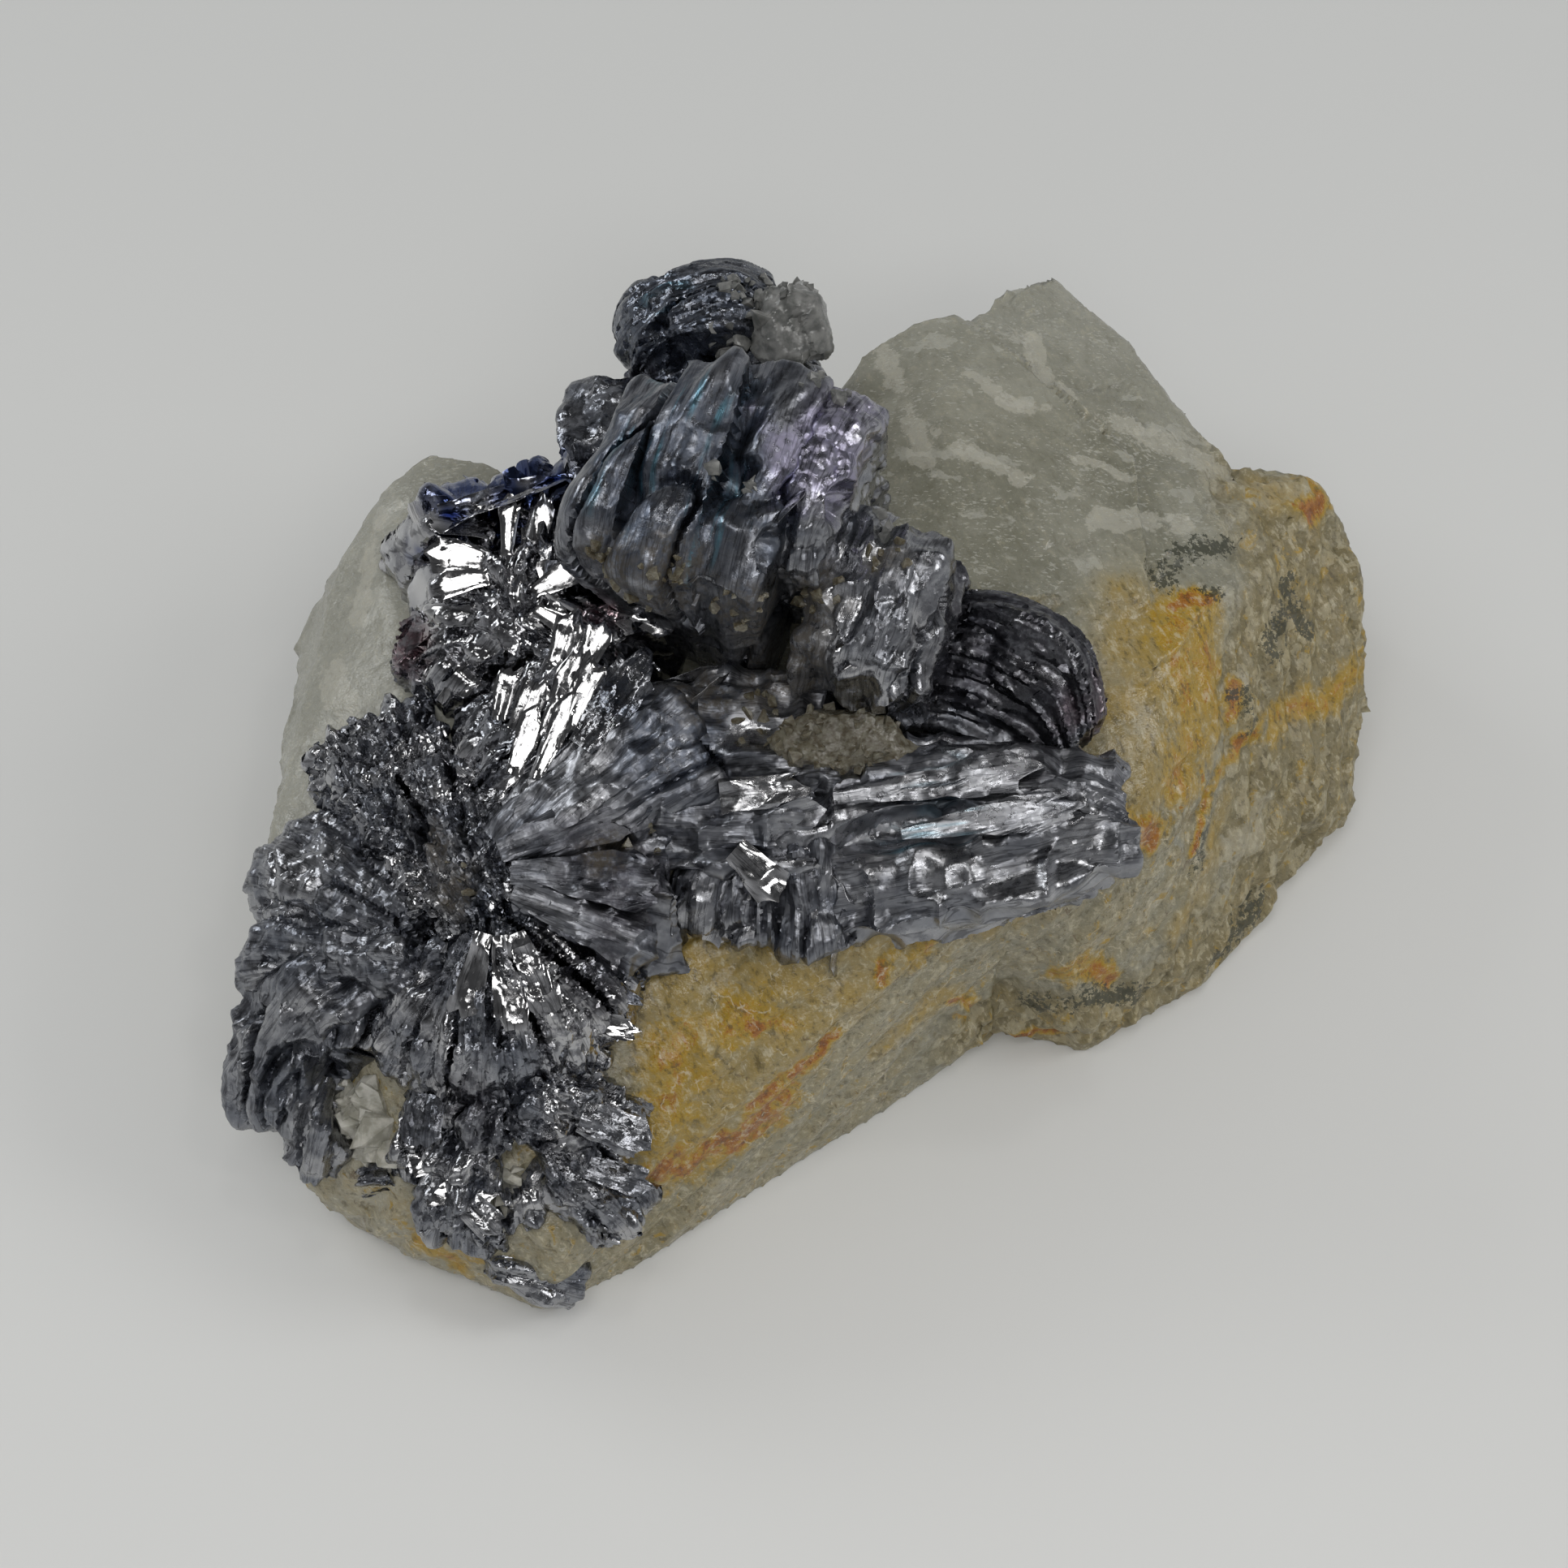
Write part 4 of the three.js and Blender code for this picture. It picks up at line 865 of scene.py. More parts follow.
def axes_of(shape):
    """The pack's own axes: along the crest, up through the leaves and across the leaves."""
    along = shape["end"] - shape["start"]
    length = np.linalg.norm(along)
    along = along / length
    upright = unit(UP - along * (UP @ along))
    side = np.cross(along, upright)
    lean = math.radians(shape["lean"])
    high = upright * math.cos(lean) + side * math.sin(lean)
    across = side * math.cos(lean) - upright * math.sin(lean)
    return along, high, across, length


def crest_height(shape, s, tau):
    """Height of the crest over its straight line, at s along it and tau across it."""
    start = np.maximum(0, 1 - s / 0.3)
    end = np.maximum(0, (s - 0.7) / 0.3)
    return (shape["arch"] * 4 * s * (1 - s) - shape["dome"] * 4 * tau**2
            - shape["ends"][0] * start**2 - shape["ends"][1] * end**2)


def creased(points, size, salt):
    """Noise from -1 to 1 with sharp ridges, as in crumpled foil."""
    return 1 - 2.6 * np.abs(noise(points, size, salt))


def skin(shape, step=0.8):
    """A closed box round the leaves of one pack."""
    along, high, across, length = axes_of(shape)
    deep = shape["deep"]
    top = max(5, int(sum(shape["wide"]) / 2 / step))
    wall = max(4, int(deep / step))
    level = np.linspace(-0.5, 0.5, top)
    climb = np.linspace(deep, 0, wall + 1)[:-1]
    tau = np.concatenate([np.full(wall, -0.5), level, np.full(wall, 0.5), level[-2:0:-1]])
    drop = np.concatenate([climb, np.zeros(top), climb[::-1], np.full(top - 2, deep)])
    s = np.linspace(0, 1, max(6, int(length / step)))[:, None]
    depth = drop / deep
    begin = shape["tuck"][0] * depth
    run = begin + (length - begin - shape["tuck"][1] * depth) * s
    wide = (shape["wide"][0] + (shape["wide"][1] - shape["wide"][0]) * s) * (1 + (shape["foot"] - 1) * depth)
    side = tau * wide + shape["bow"] * 4 * s * (1 - s)
    points = (shape["start"] + along * run[..., None] + across * side[..., None]
              + high * (crest_height(shape, s, tau) - drop)[..., None])
    m, k = points.shape[:2]
    number = np.arange(m * k).reshape(m, k)
    following = np.roll(number, -1, 1)
    quads = np.stack([number[:-1], following[:-1], following[1:], number[1:]], -1).reshape(-1, 4)
    faces = [quads[:, [0, 1, 2]], quads[:, [0, 2, 3]]]
    middle = points.mean(1)[[0, -1]]
    for ring, centre in ((number[0, ::-1], m * k), (number[-1], m * k + 1)):
        faces.append(np.stack([ring, np.roll(ring, -1), np.full(k, centre)], -1))
    return np.concatenate([points.reshape(-1, 3), middle]), np.concatenate(faces)


def pack_places(points, shapes):
    """The place of each point in its nearest pack, along the run, across the leaves and in depth, mm."""
    best = np.full(len(points), 1e9)
    place, heading = np.zeros((len(points), 3)), np.zeros((len(points), 3))
    for number, shape in enumerate(shapes):
        along, high, across, length = axes_of(shape)
        q = points - shape["start"]
        run, rise = q @ along, q @ high
        s = np.clip(run / length, 0, 1)
        spread = shape["wide"][1] - shape["wide"][0]
        depth = np.clip((crest_height(shape, s, 0) - rise) / shape["deep"], 0, 1)
        wide = (shape["wide"][0] + spread * s) * (1 + (shape["foot"] - 1) * depth)
        tau = (q @ across - shape["bow"] * 4 * s * (1 - s)) / wide
        drop = crest_height(shape, s, np.clip(tau, -0.5, 0.5)) - rise
        outside = np.max([(np.abs(tau) - 0.5) * wide, -run, run - length, -drop, drop - shape["deep"]], 0)
        near = outside < best
        leaf = tau * sum(shape["wide"]) / 2 + PACKS_APART * number
        place[near] = np.stack([run, leaf, drop], 1)[near]
        heading[near] = unit(along + across * (np.clip(tau, -0.5, 0.5) * spread / length)[:, None])[near]
        best = np.minimum(best, outside)
    return place, heading


LOOK = dict(
    heave=0.5,  # height of the wide folds
    bundle=2.6,  # width of a bundle of leaves
    crevice=0.8,  # depth of the gaps between bundles
    step=0.45,  # how far bundles stand above each other
    lines=0.05,  # height of single leaves
    slit=0.9,  # distance between the slits that part single leaves
    slits=0,  # their depth
    plate=(3.4, 1.3),  # length and width of the crumpled facets
    plates=0.4,  # their height
    tilt=1.3,  # how steeply they stand
    crumb=1,  # size of the crumbs
    crumbs=0.08,  # their height
    slant=0,  # how far the leaves lean across the pack for each mm along it
    rake=0,  # and for each mm of depth
    gloss=(0, 0.35),  # gloss of the dullest places, and how much more the brightest have
)


def relief(place, spot, look, salt):
    """Height of the crumpled surface over the pack's smooth skin, mm."""
    run, leaf, depth = place.T
    leaf = leaf + look["slant"] * run + look["rake"] * depth
    leaf = leaf + 0.9 * noise(place, (9, 6, 9), salt) + 0.3 * noise(place, 2.8, salt + 1)
    bent = np.stack([run, leaf, 0.7 * depth], 1)
    bundle = look["bundle"]
    height = look["heave"] * (0.45 * noise(spot, 4.8, salt + 2) + 0.4 * creased(spot, 2.4, salt + 3))
    gap = np.abs(noise(bent, (13, bundle, 13), salt + 4))
    height = height - look["crevice"] * smoothstep(0.17, 0.0, gap) + 0.8 * look["step"] * np.minimum(0.5, gap)
    height += look["step"] * noise(bent, (8, 0.7 * bundle, 8), salt + 5)
    leaves = creased(bent, (6, 0.8, 6), salt + 6) + 0.7 * creased(bent, (3.5, 0.45, 3.5), salt + 7)
    height += look["lines"] * leaves
    if look["slits"]:
        thin = np.abs(noise(bent, (7, look["slit"], 7), salt + 10))
        open_slits = smoothstep(0.16, 0.02, thin) * smoothstep(-0.5, 0.1, noise(spot, 3.5, salt))
        height -= look["slits"] * open_slits
    long, wide = look["plate"]
    height += look["plates"] * plates(bent, (long, wide, long), salt + 8, look["tilt"])
    small = (0.45 * long, 0.5 * wide, 0.45 * long)
    height += 0.35 * look["plates"] * plates(bent, small, salt + 18, 1.6)
    if look["crumbs"]:
        height += look["crumbs"] * plates(spot, look["crumb"], salt + 9, 1.6)
    return height


class Growth:
    """The grown surface of a group of packs, and places on it."""

    def __init__(self, group, look, salt):
        look = {**LOOK, **look}
        shapes = PACKS[group]
        points, self.faces = remeshed(*joined([skin(shape) for shape in shapes]), LEAF_NET)
        points = smoothed(points, self.faces, 2)
        normals = vertex_normals(points, self.faces)
        self.place, self.along = pack_places(points, shapes)
        height = relief(self.place, points, look, salt)
        for centre, radius, depth in PITS:
            away = np.linalg.norm(points - centre, axis=1) + 0.5 * noise(points, 1.2, salt)
            height -= depth * smoothstep(1.3, 0.5, away / radius)
        self.points = points + normals * height[:, None]
        self.normals = vertex_normals(self.points, self.faces)
        base, more = look["gloss"]
        self.gloss = base + more * smoothstep(-0.3, 0.6, noise(self.points, 2.6, salt + 12))

    def part(self):
        return part(self.points, self.faces, self.place, np.clip(self.gloss, 0, 1))

    def picks(self, amount, salt):
        """Random places on the open side, with the directions along the leaves and out."""
        near_crest = self.place[:, 2] < 5
        facing_up = self.normals[:, 2] > -0.2
        off_table = self.points[:, 2] > 3
        bare = np.flatnonzero(near_crest & facing_up & off_table)
        chosen = bare[(hashed(np.arange(amount), salt, 1) * len(bare)).astype(int)]
        out = self.normals[chosen]
        along = self.along[chosen]
        along = unit(along - out * (along * out).sum(1)[:, None])
        return self.points[chosen], along, out


def joined(pieces):
    """Joins surfaces into one; each is its points, its faces and what its points carry."""
    columns = [list(column) for column in zip(*pieces)]
    starts = np.cumsum([0] + [len(points) for points in columns[0]])
    columns[1] = [faces + start for faces, start in zip(columns[1], starts)]
    return [np.concatenate(column) for column in columns]


def part(points, faces, grain, gloss):
    """A surface with its grain, the place that its streaks are drawn in, and its gloss."""
    points = np.reshape(points, (-1, 3))
    return points, faces, np.reshape(grain, (-1, 3)), np.broadcast_to(gloss, len(points))


def turned(v, axis, angle):
    """Rows of v turned about rows of axis."""
    angle = np.asarray(angle)[..., None]
    return (v * np.cos(angle) + np.cross(axis, v) * np.sin(angle)
            + axis * (axis * v).sum(-1, keepdims=True) * (1 - np.cos(angle)))


def scattered_chips(growth, amount, size, salt, corners=6, thickness=0.16, tilt=0.5):
    """Small flat chips with crooked outlines, strewn over a growth."""
    centres, along, out = growth.picks(amount, salt)
    row = np.arange(amount)

    def swing(key, most):
        return most * (2 * hashed(row, salt, key) - 1)

    along = turned(along, out, swing(21, 0.7))
    out = turned(out, along, swing(22, 1.3 * tilt))
    side = np.cross(out, along)
    pitch = swing(23, tilt)
    along, out = turned(along, side, pitch), turned(out, side, pitch)
    side = np.cross(out, along)
    sizes = size * (0.4 + hashed(row, salt, 24) ** 2)
    corner = np.arange(corners)[None]
    turn = np.linspace(0, 2 * np.pi, corners, endpoint=False) + 0.7 * hashed(row[:, None], salt, corner)
    reach = sizes[:, None] * (0.6 + 0.5 * hashed(row[:, None], salt + 1, corner))
    flat = (along[:, None] * (1.4 * reach * np.cos(turn))[..., None]
            + side[:, None] * (reach * np.sin(turn))[..., None])
    half = 0.5 * thickness * out[:, None]
    points = np.concatenate([centres[:, None] + flat + half, centres[:, None] + 1.04 * flat - half], 1)
    fans, walls = [], []
    for c in range(corners):
        d = (c + 1) % corners
        if 0 < c < corners - 1:
            fans += [[0, c, d], [corners, corners + d, corners + c]]
        walls += [[c, corners + c, corners + d], [c, corners + d, d]]
    faces = [row[:, None] * 2 * corners + [face] for face in fans + walls]
    outline = np.stack([(flat * along[:, None]).sum(-1), (flat * side[:, None]).sum(-1)], -1)
    number = np.broadcast_to((row * 0.71 + salt)[:, None, None], (amount, 2 * corners, 1))
    grain = np.concatenate([np.concatenate([outline, outline], 1), number], 2)
    gloss = 0.6 * hashed(row, salt, 5) ** 2
    return part(points, np.concatenate(faces), grain, np.repeat(gloss, 2 * corners))


def petal(base, along, out, length, widths, salt, curl=0, cup=0, flute=0.12, crumple=0.15, thick=0.2,
          gloss=0.4, step=0.32):
    """A crumpled sheet that starts at its base and spreads along its length."""
    along, out = unit(np.array(along, float)), np.array(out, float)
    out = unit(out - along * (out @ along))
    side = np.cross(out, along)
    m, k = max(4, int(length / step)), max(4, int(max(widths) / step))
    u = np.linspace(0, 1, m + 1)[:, None]
    v = np.linspace(-1, 1, k + 1)[None, :]

    def waves(a, b, size, kind, key):
        a, b = np.broadcast_arrays(a, b)
        return kind(np.stack([a, b, 0 * a], -1), size, salt + key)

    wide = 0.5 * (widths[0] + (widths[1] - widths[0]) * u)
    run = u * length * (1 - 0.16 * v**2 + 0.10 * waves(3 * v, 0 * v, 1.0, noise, 0))
    across = v * wide * (1 + 0.10 * waves(run / 1.1, np.sign(v), 1.0, noise, 1))
    lift = curl * u**2 + cup * v**2
    lift += flute * waves(run / 6, across / (0.55 + 0.5 * u), 1.0, creased, 2)
    lift += crumple * waves(run, across, 1.9, creased, 3)
    rim = np.clip(1.02 - np.maximum(np.abs(v) ** 6, (2 * u - 1) ** 12), 0.15, 1)
    middle = np.array(base, float) + along * run[..., None] + side * across[..., None] + out * lift[..., None]
    half = out * (0.5 * thick * rim)[..., None]
    a, b = np.arange(2 * (m + 1) * (k + 1)).reshape(2, m + 1, k + 1)
    quads = [np.stack([a[:-1, :-1], a[1:, :-1], a[1:, 1:], a[:-1, 1:]], -1).reshape(-1, 4),
             np.stack([b[:-1, :-1], b[:-1, 1:], b[1:, 1:], b[1:, :-1]], -1).reshape(-1, 4)]
    for x, y in ((a[0], b[0]), (a[:, -1], b[:, -1]), (a[-1, ::-1], b[-1, ::-1]), (a[::-1, 0], b[::-1, 0])):
        quads.append(np.stack([x[:-1], x[1:], y[1:], y[:-1]], -1))
    quads = np.concatenate(quads)
    grain = np.stack([run, across, np.full_like(run, 1.7 * (salt % 53))], -1)
    return part(np.stack([middle + half, middle - half]),
                np.concatenate([quads[:, [0, 1, 2]], quads[:, [0, 2, 3]]]), np.stack([grain, grain]), gloss)


def shingles(growth, amount, length, width, salt, tilt=0.35, lift=0.12, gloss=None, **more):
    """Crumpled sheets that overlap along a pack, each tucked under at its base."""
    centres, along, out = growth.picks(amount, salt)
    centres = centres - 0.35 * out
    made = []
    for n in range(amount):
        draw = [float(hashed(n, salt, key)) for key in range(31, 38)]
        a = turned(along[n], out[n], 0.7 * (draw[0] - 0.5))
        o = turned(out[n], a, 2 * tilt * (draw[1] - 0.5))
        side = np.cross(o, a)
        pitch = -lift * (0.3 + draw[2])
        a, o = turned(a, side, pitch), turned(o, side, pitch)
        size = 0.6 + 0.7 * draw[3]
        form = dict(curl=0.9 * (draw[5] - 0.6) * size, cup=0.5 * (draw[6] - 0.5),
                    gloss=draw[4] if gloss is None else gloss)
        made.append(petal(centres[n] - a * 0.4 * length * size, a, o, length * size,
                          (0.5 * width * size, width * size), salt + 7 * n, **form, **more))
    return made


# Tarnish and dirt on the molybdenite, and patches of painted shade and painted dark reflection: centre in
# field-frame mm, radius.

TINTS = {
    "slate": [
        ((-6, 8, 47), 9), ((-8, -3, 31), 4.5), ((-8, 30, 36), 8), ((-15, 18, 28), 4),
    ],
    "violet": [
        ((2.6, 9.9, 46.6), 4.2), ((3.6, 12.6, 46.6), 3.4),
    ],
    "teal": [
        ((-11.1, 9.8, 47), 4), ((-4.6, 5.3, 47.4), 4.5), ((-6.3, 14.5, 47.9), 4), ((10, -8, 30), 4),
        ((-8.5, 31.5, 38), 2.5),
    ],
    "earth": [
        ((-12, 2.8, 43.4), 2.8), ((-8, 0.6, 42.6), 4), ((-3.6, -0.6, 41.6), 3.6), ((0.4, 1.8, 37), 4),
        ((-0.3, 2.6, 30.9), 4), ((6.8, 5.2, 41.3), 1.8), ((1.6, 4.4, 40.5), 1.6), ((-22, -12.3, 27.5), 2.2),
        ((-23.8, -9.2, 27.1), 1.6), ((-12.3, -9.8, 28.7), 1.8), ((-6, 0.8, 31.5), 2.6),
    ],
    "maroon": [
        ((-26.9, 9.1, 24.9), 2.4), ((21.5, 0.6, 29.2), 2.2), ((-13, 7.4, 30.9), 2),
    ],
    "navy": [
        ((-19.4, 20.8, 30), 4.4), ((-23.5, 20, 29), 4.2),
    ],
    # painted shade and painted dark reflection: near-black patches over the pits and hollows, and on the dark
    # petal and plates that would mirror the dark
    "painted_shade": [
        ((16.5, 4.4, 32), 9), ((-11.5, 26.5, 32), 2.6), ((-12.5, -9.9, 28.4), 3.4),
        ((-9.5, -11.5, 27.5), 2.4), ((-11.4, -14.5, 28), 2.6), ((-14, -17, 24.5), 3), ((-22, -24, 17.5), 3),
    ],
}
PITS = [  # hollows: centre, radius, depth
    ((-3.3, 8, 48.2), 1.4, 1.5), ((4.4, 6.4, 45), 1.8, 2), ((-0.3, 2.9, 45.4), 1.5, 2.4),
    ((-30.7, -21.6, 15.2), 2.5, 5), ((-29.4, -23.7, 13), 2.2, 4), ((-28.2, -22.4, 16), 1.6, 4),
    ((-18.3, -28.2, 15), 1.8, 4), ((-20.8, -30, 12.2), 1.6, 3), ((-12.3, -9.9, 28.6), 1.3, 2),
    ((-10.2, -11.2, 28.2), 1.2, 2),
]


def tint_masks(points):
    """How strongly each tint lies on each point, 0 to 1."""
    wander = 0.5 * noise(points, 3.0, 71) + 0.3 * noise(points, 1.1, 73)

    def strength(centre, radius):
        return smoothstep(1.3, 0.5, np.linalg.norm(points - centre, axis=1) / radius + wander)

    return masks_of(TINTS, strength)


def molybdenite_material(name, rough, spark, lines=0.35):
    """Lead-grey metal leaf: fine lines along the leaves, tiny flat facets, tarnish and dirt, with painted
    shade: near-black lines between the leaves and black patches of painted shade and painted dark reflection.
    """
    n = Nodes(name)
    grain = n.add("Attribute", {"attribute_name": "grain"}).outputs["Vector"]
    gloss = n.value("gloss")
    streak = n.noise(1.0, 4, vector=grain, stretch=(0.3, 2.4, 0.3), roughness=0.65)
    gap = n.noise(1.0, 3, vector=grain, stretch=(0.16, 1.9, 0.45), distortion=0.3)
    cloud = n.noise(0.22, 3)
    crinkle = n.noise(1.9, 3)
    threads = n.between(n.noise(1.0, 3, vector=grain, stretch=(0.1, 0.9, 0.1)), 0.52, 0.66)
    mottled = n.between(crinkle, 0.3, 0.62, 0.4, 1.0)
    colour = n.mix(n.between(streak, 0.3, 0.7), (0.15, 0.157, 0.178), (0.33, 0.34, 0.368))
    colour = n.mix(n.between(cloud, 0.45, 0.7, 0, 0.3), colour, (0.12, 0.145, 0.195))
    colour = n.mix(gloss * 0.8, colour, (0.72, 0.715, 0.72))
    # the last of these tints, near black, is painted shade and painted dark reflection, not tarnish
    for kind, pattern, amount, tint in (
            ("slate", mottled, 0.7, (0.07, 0.088, 0.125)), ("teal", threads, 0.75, (0.13, 0.31, 0.40)),
            ("violet", mottled, 0.65, (0.47, 0.44, 0.60)), ("maroon", mottled, 0.7, (0.13, 0.035, 0.05)),
            ("navy", 1.0, 0.93, (0.02, 0.045, 0.16)), ("painted_shade", mottled, 0.8, (0.045, 0.042, 0.052))):
        colour = n.mix(n.value(kind) * pattern * amount, colour, tint)
    # painted shade: near-black lines along the leaves where the gaps between them would lie in shadow
    colour = n.mix(n.between(n.math("ABSOLUTE", gap - 0.5), 0.01, 0.03, 0.5, 0), colour, (0.02, 0.02, 0.025))
    dirt = n.value("earth") * n.between(n.noise(1.6, 3, roughness=0.7), 0.36, 0.6, 0.1, 1.0)
    colour = n.mix(dirt * 0.8, colour, (0.06, 0.047, 0.028))
    rough_value = n.between(crinkle, 0.3, 0.7, rough - 0.07, rough + 0.10) - gloss * (rough - 0.08)
    warp = n.wander(2.2, 3, 0.8)
    long_cells = n.math_vector("ADD", n.math_vector("MULTIPLY", grain, (0.6, 1.9, 0.6)), warp)
    small_cells = n.math_vector("MULTIPLY", n.math_vector("ADD", n.place, warp), (2.4, 2.4, 2.4))
    soft = 1.0 - gloss * 0.85
    facing = n.facets(small_cells, soft * (0.6 * spark), n.facets(long_cells, soft * spark))
    fine = n.bump(streak * soft, lines, 0.07, Normal=facing)
    coarse = n.bump(n.noise(1.4, 3, roughness=0.6) * soft, 0.4, 0.14, Normal=fine)
    n.set(Base_Color=colour, Roughness=rough_value + dirt * 0.25, Normal=coarse, Metallic=1.0 - dirt * 0.5)
    return n.material


# ---- the pieces -----------------------------------------------------------------------

QUARTZ = quartz_material("milky_quartz", False)
STAINED = quartz_material("stained_quartz", True)
CLEAR = clear_quartz_material("clear_quartz", (0.19, 0.195, 0.185), (0.40, 0.40, 0.38), 0.5)
MILKY = clear_quartz_material("window_quartz", (0.36, 0.35, 0.29), (0.62, 0.60, 0.53), 0.1)
SMOOTH = molybdenite_material("molybdenite_smooth", 0.33, 0.08, 0.2)
SATIN = molybdenite_material("molybdenite_satin", 0.37, 0.10, 0.25)
BRUSHED = molybdenite_material("molybdenite_brushed", 0.30, 0.22)
LEAF = molybdenite_material("molybdenite", 0.24, 0.5)
MIRROR = molybdenite_material("molybdenite_mirror", 0.16, 0.4)

points, faces, weathered, front = quartz_surface()
SURFACES = {"quartz_lump": (points, vertex_normals(points, faces))}
masks = streak_masks(points)
masks["cream"] *= smoothstep(4.0, 9.0, points[:, 2])
quartz = new_object("quartz_lump", points, faces, NO_EDGE, {**masks, "weathered": weathered, "front": front})
finished(quartz, QUARTZ, "milky_quartz", "quartz_matrix")

# Forms of the sheets.
BLADES = dict(tilt=1.25, lift=0.5, gloss=1, flute=0.015, crumple=0.02, thick=0.22, step=0.8)
LIT = dict(gloss=1, flute=0.014, crumple=0.016)
STRIPED = dict(gloss=0.85, flute=0.055, crumple=0.03, step=0.2)
RIM = dict(curl=-0.9, gloss=0.6, flute=0.02, crumple=0.05)
LATH = dict(gloss=0.3, flute=0.05, crumple=0.14)

